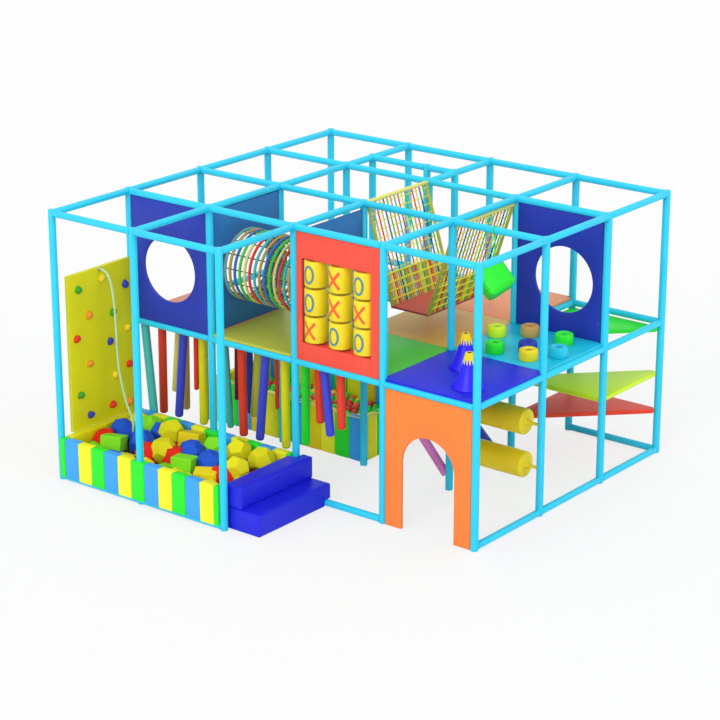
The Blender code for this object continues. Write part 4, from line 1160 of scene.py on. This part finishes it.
@dataclass
class ClimbingRope:
    """The rope that hangs in front of the climbing wall."""

    radius: float = 0.013
    line: float = 0.66
    head: float = 2.3
    spacing: float = 0.065
    lead: float = 0.03
    exit_depth: float = 0.0503
    fineness: int = 20
    route: tuple[Point, ...] = (
        (0.12, 2.29), (0.163, 2.25), (0.205, 2.16), (0.238, 1.97), (0.256, 1.7), (0.262, 1.45), (0.275, 1.22),
        (0.312, 1.03), (0.372, 0.82), (0.435, 0.68), (0.472, 0.57), (0.468, 0.46), (0.445, 0.36), (0.43, 0.3),
    )

    def path(self) -> list[Vector]:
        """The rope's points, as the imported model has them."""
        exit_point = at(self.exit_depth, self.line, self.head)
        own = [exit_point + Vector((self.lead, 0, 0))] + [at(x, self.line, z) for x, z in self.route]
        ends = [2 * own[0] - own[1]] + own + [2 * own[-1] - own[-2]]
        fine = [own[0]]
        for before, first, second, after in zip(ends, ends[1:], ends[2:], ends[3:]):
            for step in range(1, self.fineness + 1):
                t = step / self.fineness
                fine.append(0.5 * (2 * first + (second - before) * t
                                   + (2 * before - 5 * first + 4 * second - after) * t * t
                                   + (3 * first - before - 3 * second + after) * t ** 3))
        length = sum((b - a).length for a, b in zip(fine, fine[1:]))
        count = round(length / self.spacing)
        target, walked, found = length / count, 0.0, [fine[0]]
        for a, b in zip(fine, fine[1:]):
            gap = (b - a).length
            while walked + gap >= target * len(found) and len(found) < count:
                found.append(a.lerp(b, (target * len(found) - walked) / gap))
            walked += gap
        return [exit_point, *found, fine[-1]]

    def build(self) -> None:
        """Build the rope as one round cord, with a whipped knot at its lower end."""
        points = self.path()
        curve = bpy.data.curves.new("climbing_rope_cord", "CURVE")
        curve.dimensions = "3D"
        curve.bevel_depth = self.radius
        curve.bevel_resolution = 4
        curve.use_fill_caps = True
        spline = curve.splines.new("POLY")
        spline.points.add(len(points) - 1)
        for knot, place in zip(spline.points, points):
            knot.co = (*place, 1)
        curve.materials.append(Cord(Tint.ROPE, yarns=60.0).material())
        rope = bpy.data.objects.new("climbing_rope_cord", curve)
        bpy.context.scene.collection.objects.link(rope)
        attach(rope, STRUCTURE)
        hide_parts("climbing_rope")
        end, before = points[-1], points[-2]
        knot = Form(Cord(Tint.ROPE, yarns=60.0))
        lay = along(end, before)
        for number, (radius, level) in enumerate(((0.013, 0.012), (0.015, 0.026), (0.013, 0.04))):
            knot.add(hoop(radius, 0.009, 20, 10), lay @ shift((0, 0, level)) @ turn(14 * (number - 1), "X"))
        tail = knot.make("climbing_rope_knot")


@dataclass
class BallPit:
    """The striped ball pit with its balls."""

    low: Point = (0.0405, 2.4405)
    high: Point = (2.3595, 3.5595)
    wall: float = 0.09
    height: float = 0.54
    stripes: tuple[Tint, ...] = (Tint.LEMON, Tint.GREEN, Tint.SKY, Tint.SUN)
    rim: float = 0.011
    rim_inset: float = 0.014
    rim_drop: float = 0.013
    base: float = 0.2
    ball_tints: tuple[Tint, ...] = (
        Tint.RED, Tint.GREEN, Tint.GRASS, Tint.RED_ORANGE, Tint.GREEN, Tint.YELLOW)
    ball_radius: float = 0.045
    ball_level: float = 0.22
    layer_rise: float = 0.075
    heap_rise: float = 0.06
    heap_centre: Point = (1.2, 3.0)
    heap_waves: Point = (3.5, 2.6)
    seed: int = 11

    def build_wall(self) -> None:
        """Build the four sides' stripes, with a roll along the inner edge of each side."""
        form = Form(*(Vinyl(tint, 0.36) for tint in self.stripes), Vinyl(Tint.PALE_YELLOW, 0.36))
        corners = [self.low, (self.high[0], self.low[1]), self.high, (self.low[0], self.high[1])]
        for side, (start, end, count) in enumerate(zip(corners, corners[1:] + corners[:1], (11, 5, 11, 5))):
            begin, finish = Vector(start), Vector(end)
            way = (finish - begin).normalized()
            inward = Vector((-way.y, way.x))
            if side % 2:
                begin, finish = begin + way * self.wall, finish - way * self.wall
            span = (finish - begin).length / count
            rim, level = inward * self.rim_inset, self.height - self.rim_drop
            form.add(drum(self.rim, (finish - begin).length, 12, 0.0),
                     along(at(*(begin + rim), level), at(*(finish + rim), level)), 4)
            for number in range(count):
                middle = begin + way * span * (number + 0.5) + inward * self.wall / 2
                shape = pad((span - 0.003, self.wall - 0.008, self.height - 0.004), 0.014, 0.006, 3, 3)
                place = put(middle.x, middle.y, self.height / 2) @ turn(90 * side, "Z")
                form.add(shape, place, number % 4)
        form.make("ball_pit_stripes", stands_for=["ball_pit_wall"], slot="sky", fill=0.9)

    def build_balls(self) -> None:
        """Heap hollow plastic balls in the pit."""
        rng = random.Random(self.seed)
        form = Form(*(Moulding(tint, 0.3) for tint in self.ball_tints))
        pitch = self.ball_radius * 2.02
        left, right = self.low[0] + self.wall + self.ball_radius, self.high[0] - self.wall - self.ball_radius
        front, back = self.low[1] + self.wall + self.ball_radius, self.high[1] - self.wall - self.ball_radius
        for layer in range(2):
            row_pitch = pitch * 0.87
            for row in range(int((back - front) / row_pitch) + 1):
                for column in range(int((right - left) / pitch) + 1):
                    x = left + column * pitch + pitch * 0.5 * (row % 2)
                    y = front + row * row_pitch + layer * pitch * 0.3
                    if x > right or y > back:
                        continue
                    heap = (self.heap_rise * math.cos(self.heap_waves[0] * (x - self.heap_centre[0]))
                            * math.cos(self.heap_waves[1] * (y - self.heap_centre[1])))
                    z = self.ball_level + layer * self.layer_rise + heap + rng.uniform(-0.012, 0.012)
                    spot = put(x + rng.uniform(-0.006, 0.006), y + rng.uniform(-0.006, 0.006), z)
                    form.add(ball(self.ball_radius, 2), spot, rng.randrange(len(self.ball_tints)))
        left, right, front, back = left - 0.04, right + 0.04, front - 0.04, back + 0.04
        base = [at(x, y, 0).xy[:] for x, y in ((left, front), (right, front), (right, back), (left, back))]
        form.add(plate(base, self.base, 0.0), shift((0, 0, 0.001)), 1)
        form.make("ball_pit_heap", stands_for=["ball_pit_balls"], slot="red_balls")

    def build(self) -> None:
        """Build the pit and its balls."""
        self.build_wall()
        self.build_balls()


@dataclass
class NetTunnel:
    """Rings of coloured cord, tied by thin lengthwise cords."""

    radius: float = 0.395
    level: float = 2.32
    start: float = 1.235
    end: float = 2.365
    count: int = 17
    cords: int = 15
    ring: float = 0.0165
    cord: float = 0.007
    end_ring: float = 0.016
    end_gap: float = 0.012
    overrun: float = 0.015
    tints: tuple[Tint, ...] = (Tint.TEAL, Tint.TAN, Tint.STEEL_BLUE, Tint.GRASS, Tint.PALE_YELLOW, Tint.RED)

    def build(self) -> None:
        """Build the rings and the thin cords that run through them."""
        form = Form(*(Cord(tint) for tint in self.tints), Cord(Tint.SHADOW))
        pitch = (self.end - self.start) / (self.count - 1)
        for number in range(self.count):
            x = self.start + number * pitch
            form.add(hoop(self.radius, self.ring, 56, 10), put(x, 1.5 * BAY, self.level) @ turn(90, "Y"),
                     number % len(self.tints))
        for cord in range(self.cords):
            angle = 2 * math.pi * (cord + 0.25) / self.cords
            y = 1.5 * BAY + self.radius * math.cos(angle)
            z = self.level + self.radius * math.sin(angle)
            form.add(drum(self.cord, self.end - self.start + 2 * self.overrun, 8, 0.0),
                     along(at(self.start - self.overrun, y, z), at(self.end, y, z)), len(self.tints))
        for x in (self.start - self.end_gap, self.end + self.end_gap):
            form.add(hoop(self.radius, self.end_ring, 48, 8), put(x, 1.5 * BAY, self.level) @ turn(90, "Y"),
                     len(self.tints) - 1)
        form.make("net_tunnel_cords", stands_for=["net_tunnel"], slot="green_net")


@dataclass
class NetBridge:
    """Two sloping nets of coloured cord that hold a narrow mat."""

    south: float = 2.47
    north: float = 3.53
    mat_low: float = 1.93
    mat_x: Point = (2.74, 3.26)
    heads: tuple[Point, Point] = ((2.4, 3.08), (3.6, 3.02))
    feet: tuple[Point, Point] = ((2.755, 1.95), (3.245, 1.95))
    cords: int = 17
    cross: int = 9
    band: float = 0.7
    band_rows: tuple[float, ...] = (0.78, 0.86, 0.94)
    cord: float = 0.0085
    band_cord: float = 0.012
    cross_cord: float = 0.006
    band_cross: float = 0.013
    selvage: float = 0.019
    selvage_gap: float = 0.006
    roll: float = 0.0225
    overhang: float = 0.025
    tints: tuple[Tint, ...] = (
        Tint.GRASS, Tint.SAND, Tint.SCARLET, Tint.PALE_YELLOW, Tint.NAVY, Tint.GRASS, Tint.AMBER, Tint.TEAL,
        Tint.RED, Tint.LEMON, Tint.OLIVE,
    )

    def build_side(self, name: str, head: Point, foot: Point) -> None:
        """Build one sloping net, with a closer band at its foot and its borders."""
        form = Form(*(Cord(tint) for tint in self.tints), Vinyl(Tint.PALE_YELLOW, 0.4))
        lemon, olive, border = len(self.tints) - 2, len(self.tints) - 1, len(self.tints)
        start, end = at(head[0], 0, head[1]), at(foot[0], 0, foot[1])
        band = start.lerp(end, self.band)
        pitch = (self.north - self.south) / (self.cords - 1)
        for number in range(self.cords):
            y = Vector((0, self.south + number * pitch, 0))
            form.add(drum(self.cord, (end - start).length, 8, 0.0), along(end + y, start + y), number % olive)
            if number:
                y.y -= pitch / 2
                form.add(drum(self.band_cord, (end - band).length, 8, 0.003), along(end + y, band + y),
                         (lemon, olive, lemon, 6, olive)[number % 5])
        parts = [self.band * (number + 0.6) / self.cross for number in range(self.cross)]
        for part in (*parts, self.band, *self.band_rows):
            level = start.lerp(end, part)
            thick = self.cross_cord if part < self.band else self.band_cross
            form.add(drum(thick, self.north - self.south, 8, 0.0),
                     along(level + Vector((0, self.south, 0)), level + Vector((0, self.north, 0))), lemon)
        for y in (self.south - self.selvage_gap, self.north + self.selvage_gap):
            edge = Vector((0, y, 0))
            form.add(drum(self.selvage, (end - start).length, 16, 0.002), along(end + edge, start + edge),
                     olive)
        form.add(drum(self.roll, self.north - self.south + 2 * self.overhang, 20, 0.003),
                 along(at(head[0], self.south - self.overhang, head[1]), at(head[0], self.north, head[1])),
                 border)
        form.make(f"net_bridge_{name}", stands_for=["net_bridge"], slot="lime_net")

    def build_mat(self) -> None:
        """Build the padded mat."""
        form = Form(Vinyl(Tint.MAT_RED, 0.4))
        size = (self.mat_x[1] - self.mat_x[0] - 0.004, self.north - self.south + 2 * self.overhang, 0.028)
        middle = at(sum(self.mat_x) / 2, (self.south + self.north) / 2, self.mat_low + 0.015)
        form.add(pad(size, 0.009, 0.0, 5, 3), shift(middle))
        form.make("net_bridge_mat", stands_for=["net_bridge"], slot="lime_net", fill=1.0)

    def build(self) -> None:
        """Build both nets and the mat."""
        for name, head, foot in zip(("left", "right"), self.heads, self.feet):
            self.build_side(name, head, foot)
        self.build_mat()


@dataclass
class HangingTubes:
    """Foam tubes that hang below the front deck and swing on their straps."""

    pivot: float = 1.6044
    strap: float = 0.102
    radius: float = 0.05
    tubes: tuple[tuple[Tint, str, float, float, float, float], ...] = (
        (Tint.TEAL, "teal", 0.062, 1.32, 0.42, 5.5), (Tint.RED, "red", 0.123, 1.55, 0.36, -0.5),
        (Tint.INDIGO, "blue", 0.477, 1.55, 0.36, -5.9), (Tint.CITRON, "yellow", 0.746, 1.55, 0.36, -0.4),
        (Tint.OLIVE, "mustard", 1.431, 1.75, 0.53, -5.4), (Tint.RED, "red", 1.326, 1.55, 0.36, 0.7),
        (Tint.INDIGO, "blue", 1.709, 1.55, 0.36, -6.0), (Tint.CITRON, "yellow", 1.955, 1.55, 0.36, 0.6),
        (Tint.GREEN, "green", 2.278, 1.53, 0.476, -0.6), (Tint.RED, "red", 2.483, 1.49, 0.803, 2.2),
        (Tint.INDIGO, "blue", 2.588, 1.45, 0.694, 6.2), (Tint.RED, "red", 2.836, 1.44, 0.82, 1.0),
    )
    thin_tubes: tuple[tuple[Tint, str, float, float, float, float, float], ...] = (
        (Tint.PALE_YELLOW, "blue", 0.3, 1.65, 0.611, -5.7, 0.035),
        (Tint.TAN, "red", 0.286, 1.77, 0.374, -0.9, 0.045),
        (Tint.RED, "yellow", 0.561, 1.644, 0.711, -0.8, 0.03),
        (Tint.TEAL, "yellow", 0.981, 1.65, 0.36, 3.4, 0.04),
        (Tint.MAROON, "red", 1.048, 1.8, 0.65, -1.3, 0.03),
        (Tint.NAVY, "red", 1.184, 1.85, 0.51, 0.1, 0.04),
        (Tint.RED, "yellow", 1.53, 1.915, 0.623, 0.3, 0.025),
    )

    def tube(self, tint: Tint, x: float, y: float, foot: float, lean: float, radius: float) -> Form:
        """One tube with its rounded ends, seam, strap and pivot, leaning some degrees towards +X."""
        form = Form(Vinyl(tint, 0.4), Cord(Tint.SHADOW), Steel(Tint.STEEL))
        drop, top = self.pivot - foot, self.strap
        place = put(x, y, self.pivot) @ turn(-lean, "Y")
        form.add(lathe([
            (0.0, -top), (radius * 0.7, -top), (radius * 0.93, -top - 0.006), (radius - 0.001, -top - 0.02),
            (radius - 0.001, 0.034 - drop), (radius * 0.93, 0.016 - drop), (radius * 0.7, 0.005 - drop),
            (0.0, 0.001 - drop),
        ], 28), place)
        form.add(drum(0.0028, drop - top - 0.06, 6, 0.0),
                 place @ shift((-radius * 0.95, -radius * 0.2, 0.04 - drop)))
        form.add(pad((0.019, 0.005, top + 0.008), 0.001), place @ shift((0, 0, -top / 2)), 1)
        form.add(drum(0.0065, 0.022, 12, 0.001), place @ shift((-0.011, 0, 0.001)) @ turn(90, "Y"), 2)
        return form

    def build(self) -> None:
        """Build the tubes, each on its own body, and the thin ones, which stay with the structure."""
        for number, (tint, slot, x, y, foot, lean) in enumerate(self.tubes, start=1):
            body = f"hanging_tube_{number:02d}"
            form = self.tube(tint, x, y, foot, lean, self.radius)
            form.make(f"{body}_foam", body=body, stands_for=[body], slot=slot, fill=1.0)
        for number, (tint, slot, x, y, foot, lean, radius) in enumerate(self.thin_tubes, start=1):
            self.tube(tint, x, y, foot, lean, radius).make(f"thin_tube_{number}", slot=slot, fill=1.0)


@dataclass
class Platforms:
    """Three triangular padded platforms, one above the other."""

    low: float = 0.012
    high: float = BAY - 0.012
    tip: float = 0.09
    notch: float = 0.034
    thickness: float = 0.05

    def outline(self, back: bool) -> list[Point]:
        """A triangle with blunt tips and notched corners, in the bay's own metres."""
        a, b, t, n = self.low, self.high, self.tip, self.notch
        if back:
            return [(a, a + n), (a + n, a + n), (a + n, a), (a + t, a), (b, b - t), (b, b - n),
                    (b - n, b - n), (b - n, b), (a + n, b), (a + n, b - n), (a, b - n)]
        return [(a, a + n), (a + n, a + n), (a + n, a), (b - n, a), (b - n, a + n), (b, a + n), (b, b - n),
                (b - n, b - n), (b - n, b), (b - t, b), (a, a + t)]

    def build(self) -> None:
        """Build the red, lime and green platforms."""
        for name, back, top, tint, slot in (
            ("low", True, 0.55, Tint.RED, "red"), ("middle", False, 0.99, Tint.LIME, "lime"),
            ("high", True, 1.53, Tint.GREEN, "green"),
        ):
            form = Form(Vinyl(tint, 0.38))
            corner = at(3 * BAY, 3 * BAY, top - self.thickness + 0.001)
            form.add(plate(self.outline(back), self.thickness - 0.002, 0.009, 3), shift(corner))
            form.make(f"platform_{name}_pad", stands_for=[f"platform_{name}"], slot=slot, fill=1.0)


@dataclass
class Rollers:
    """Two padded rollers on shafts between posts."""

    radius: float = 0.144
    half: float = 0.419
    shaft: float = 0.0175
    shaft_half: float = 0.577
    seam: float = 0.003
    seam_inset: float = 0.04
    levels: tuple[tuple[str, float], ...] = (("roller_upper", 1.035), ("roller_lower", 0.545))

    def build(self) -> None:
        """Build each roller with its end caps, seams and shaft."""
        r, h, s, e = self.radius, self.half, self.shaft, self.shaft_half
        half_profile = [(0.0, e), (s, e), (s, h + 0.05), (s + 0.012, h + 0.03), (s + 0.03, h + 0.001),
                        (r - 0.02, h - 0.001), (r - 0.006, h - 0.008), (r, h - 0.024)]
        for name, level in self.levels:
            form = Form(Vinyl(Tint.YELLOW, 0.4))
            profile = half_profile + [(radius, -height) for radius, height in reversed(half_profile)]
            place = put(3.5 * BAY, 2 * BAY, level) @ turn(90, "Y")
            form.add(lathe(profile, 40), place)
            for end in (-1, 1):
                form.add(hoop(r - 0.004, 0.0045, 40, 6), place @ shift((0, 0, end * (h - 0.026))))
            form.add(drum(self.seam, 2 * (h - self.seam_inset), 6, 0.0),
                     place @ shift((r * 0.99, 0, self.seam_inset - h)))
            form.make(f"{name}_pad", body=name, stands_for=[name], slot="yellow", fill=1.0)


@dataclass
class SlantedBeams:
    """Two padded beams that lean across the lower level."""

    radius: float = 0.049
    seam: float = 0.003
    seam_inset: float = 0.02

    def build(self) -> None:
        """Build the pink and the blue beam."""
        for name, start, end, tint, slot in (
            ("pink", at(2.44, 2.4, 1.418), at(3.56, 2.4, 0.174), Tint.PINK, "pink"),
            ("blue", at(3.6, 2.44, 1.116), at(3.6, 3.4, 0.051), Tint.NAVY, "navy"),
        ):
            form = Form(Vinyl(tint, 0.4))
            lay = along(end, start)
            length = (start - end).length
            form.add(drum(self.radius, length, edge=0.006), lay)
            form.add(drum(self.seam, length - 2 * self.seam_inset, 6, 0.0),
                     lay @ shift((self.radius * 0.97, 0, self.seam_inset)))
            form.make(f"beam_{name}", stands_for=[f"slanted_beam_{name}"], slot=slot, fill=1.0)


@dataclass
class DeckToys:
    """Stools and spiky cones that stand on the right hand decks."""

    stools: tuple[tuple[float, float, Tint], ...] = (
        (3.738, 3.073, Tint.LIME), (4.022, 3.305, Tint.TAN), (4.312, 2.834, Tint.NAVY),
        (4.465, 2.624, Tint.YELLOW), (4.042, 2.601, Tint.GREEN), (4.471, 3.301, Tint.GREEN),
        (4.665, 2.895, Tint.AQUA),
    )
    stool_size: Point = (0.1043, 0.1243)
    cones: tuple[Point, ...] = ((4.079, 2.005), (4.477, 1.514))
    spike: float = 0.075
    spike_flare: float = 0.26

    def build_stools(self) -> None:
        """Build the round foam stools, each with a dimpled top."""
        for number, (x, y, tint) in enumerate(self.stools, start=1):
            form = Form(Vinyl(tint, 0.38), Vinyl(Tint.SHADOW, 0.6))
            r, h = self.stool_size
            place = put(x, y, DECK_TOP)
            form.add(lathe([
                (0.0, h - 0.018), (0.03, h - 0.017), (0.045, h - 0.006), (0.055, h), (r - 0.024, h),
                (r - 0.008, h - 0.006), (r - 0.001, h - 0.016), (r, h * 0.5), (r - 0.001, 0.01),
                (r - 0.006, 0.002), (r - 0.016, 0.0005), (0.0, 0.0005),
            ], 36), place)
            for spoke in range(6):
                form.add(pad((0.03, 0.008, 0.004), 0.001),
                         place @ turn(60 * spoke, "Z") @ shift((0.024, 0, h - 0.016)), 1)
            form.make(f"stool_{number}", stands_for=["deck_back_rows"], slot="tan", fill=1.0)

    def build_cones(self) -> None:
        """Build the blue cones with their yellow spiked tops and dark tips."""
        for number, (x, y) in enumerate(self.cones, start=1):
            form = Form(Vinyl(Tint.CONE_BLUE, 0.36), Vinyl(Tint.YELLOW, 0.4), Vinyl(Tint.SHADOW, 0.7))
            place = put(x, y, DECK_TOP)
            form.add(lathe([
                (0.0, 0.376), (0.032, 0.374), (0.037, 0.366), (0.056, 0.3), (0.079, 0.22), (0.11, 0.14),
                (0.148, 0.06), (0.179, 0.014), (0.182, 0.006), (0.175, 0.001), (0.0, 0.001),
            ], 40), place)
            spikes = bmesh.new()
            bmesh.ops.create_cone(spikes, cap_ends=False, segments=24, radius1=0.0655, radius2=0.0385,
                                  depth=0.1, matrix=shift((0, 0, 0.327)))
            rim = [vert for vert in spikes.verts if vert.co.z < 0.3]
            rim.sort(key=lambda vert: math.atan2(vert.co.y, vert.co.x))
            for vert in rim[1::2]:
                flare = 1 + self.spike * self.spike_flare
                vert.co = Vector((vert.co.x * flare, vert.co.y * flare, vert.co.z - self.spike))
            bmesh.ops.solidify(spikes, geom=spikes.faces[:], thickness=-0.004)
            bmesh.ops.recalc_face_normals(spikes, faces=spikes.faces)
            form.add(spikes, place, 1)
            form.add(drum(0.036, 0.004, 24, 0.001), place @ shift((0, 0, 0.3745)), 1)
            form.add(drum(0.022, 0.002, 20, 0.0), place @ shift((0, 0, 0.3778)), 2)
            form.make(f"spiky_cone_{number}", stands_for=["deck_front_row"], slot="blue", fill=1.0,
                      creased=30)

    def build(self) -> None:
        """Build the stools and the cones."""
        self.build_stools()
        self.build_cones()


@dataclass
class HangingBlock:
    """The green block that swings below a top rail."""

    x: float = 4.155
    drop: float = 0.54
    size: float = 0.317
    tilt: tuple[float, float, float] = (43.3, 47.7, 4.6)

    def build(self) -> None:
        """Build the block, its strap and the loop round the rail."""
        form = Form(Vinyl(Tint.GREEN, 0.38))
        lean = turn(self.tilt[2], "Z") @ turn(self.tilt[1], "Y") @ turn(self.tilt[0], "X")
        form.add(pad((self.size,) * 3, 0.035, 0.004, 7, 4),
                 put(self.x, 2 * BAY, TOP_LEVEL - self.drop) @ lean)
        block = form.make("hanging_block_pad", body="hanging_block", stands_for=["hanging_block"],
                          slot="green", fill=0.95)
        swell(block, 0.012, 0.006)
        strap = Form(Cord(Tint.GREEN), Steel(Tint.STEEL))
        strap.add(hoop(0.0445, 0.0055, 36, 8), put(self.x, 2 * BAY, TOP_LEVEL) @ turn(90, "Y"))
        high, low = TOP_LEVEL - 0.046, TOP_LEVEL - self.drop + 0.17
        strap.add(pad((0.018, 0.005, high - low), 0.001), put(self.x, 2 * BAY, (high + low) / 2))
        strap.make("hanging_block_strap", body="hanging_block")


@dataclass
class Studio:
    """Pale floor, soft lights and the camera at the photograph's angle."""

    azimuth: float = 38.177
    elevation: float = 18.963
    lens: float = 116.04
    place: tuple[float, float, float] = (15.1749, -19.3679, 9.7180)
    world: float = 0.92

    def build_floor(self) -> None:
        """Lay the floor, which shows white to the camera and keeps a soft shadow."""
        sheet = bmesh.new()
        bmesh.ops.create_grid(sheet, x_segments=2, y_segments=2, size=150.0)
        mesh = bpy.data.meshes.new("floor")
        sheet.to_mesh(mesh)
        sheet.free()
        made = bpy.data.materials.new("floor")
        made.use_nodes = True
        nodes = Nodes(made.node_tree)
        shader = made.node_tree.nodes["Principled BSDF"]
        shader.inputs["Base Color"].default_value = (0.8, 0.8, 0.8, 1.0)
        shader.inputs["Roughness"].default_value = 0.9
        shader.inputs["Specular IOR Level"].default_value = 0.1
        glow = nodes.add("Emission", {"Color": (1.0, 1.0, 1.0, 1.0), "Strength": 1.0})
        seen = nodes.add("LightPath").outputs["Is Camera Ray"]
        share = nodes.add("Math", {0: seen, 1: 0.72}, operation="MULTIPLY")
        mixed = nodes.add("MixShader", {0: share.outputs[0], 1: shader.outputs[0], 2: glow.outputs[0]})
        made.node_tree.links.new(mixed.outputs[0], made.node_tree.nodes["Material Output"].inputs["Surface"])
        mesh.materials.append(made)
        floor = bpy.data.objects.new("floor", mesh)
        floor.location.z = -0.001
        bpy.context.scene.collection.objects.link(floor)

    def build_world(self) -> None:
        """Light from all round, and white wherever the camera sees past the floor."""
        world = bpy.data.worlds.new("studio")
        world.use_nodes = True
        nodes = Nodes(world.node_tree)
        ground = world.node_tree.nodes["Background"]
        ground.inputs["Strength"].default_value = self.world
        white = nodes.add("Background", {"Strength": 1.0})
        white.inputs["Color"].default_value = (1.0, 1.0, 1.0, 1.0)
        ground.inputs["Color"].default_value = (1.0, 1.0, 1.0, 1.0)
        seen = nodes.add("LightPath").outputs["Is Camera Ray"]
        mixed = nodes.add("MixShader", {0: seen, 1: ground.outputs[0], 2: white.outputs[0]})
        world.node_tree.links.new(mixed.outputs[0], world.node_tree.nodes["World Output"].inputs["Surface"])
        bpy.context.scene.world = world

    def lamp(self, name: str, azimuth: float, elevation: float, strength: float, spread: float) -> None:
        """Add one soft lamp from a direction, with azimuth 0 at the front."""
        light = bpy.data.lights.new(name, "SUN")
        light.energy = strength
        light.angle = math.radians(spread)
        lamp = bpy.data.objects.new(name, light)
        lamp.rotation_euler = (math.radians(90 - elevation), 0, math.radians(azimuth))
        bpy.context.scene.collection.objects.link(lamp)

    def build_camera(self) -> None:
        """Stand the camera where the photograph was taken."""
        data = bpy.data.cameras.new("camera")
        data.lens = self.lens
        data.sensor_width = 36.0
        data.clip_end = 400.0
        camera = bpy.data.objects.new("camera", data)
        camera.location = self.place
        camera.rotation_euler = (math.radians(90 - self.elevation), 0, math.radians(self.azimuth))
        bpy.context.scene.collection.objects.link(camera)
        bpy.context.scene.camera = camera

    def build(self) -> None:
        """Build the studio."""
        bpy.context.scene.view_settings.view_transform = "Standard"
        self.build_floor()
        self.build_world()
        self.lamp("key", 8.0, 28.0, 1.1, 30.0)
        self.lamp("side", 92.0, 32.0, 0.6, 40.0)
        self.build_camera()


def corners(box: tuple[Vector, Vector]) -> list[list[float]]:
    """A box as plain lists."""
    return [[float(value) for value in corner] for corner in box]


def main() -> None:
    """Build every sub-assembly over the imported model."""
    logging.basicConfig(level=logging.INFO, format="%(name)s %(message)s")
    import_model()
    Studio().build()
    ClimbingRope().build()
    for assembly in (TubeFrame(), Decks(), WallPanels(), Game(), ArchDoor(), FoamPit(), ClimbingWall(),
                     BallPit(), NetTunnel(), NetBridge(), HangingTubes(), Platforms(), Rollers(),
                     SlantedBeams(), DeckToys(), HangingBlock()):
        LOG.info("building %s", type(assembly).__name__)
        assembly.build()


if __name__ == "__main__":
    main()
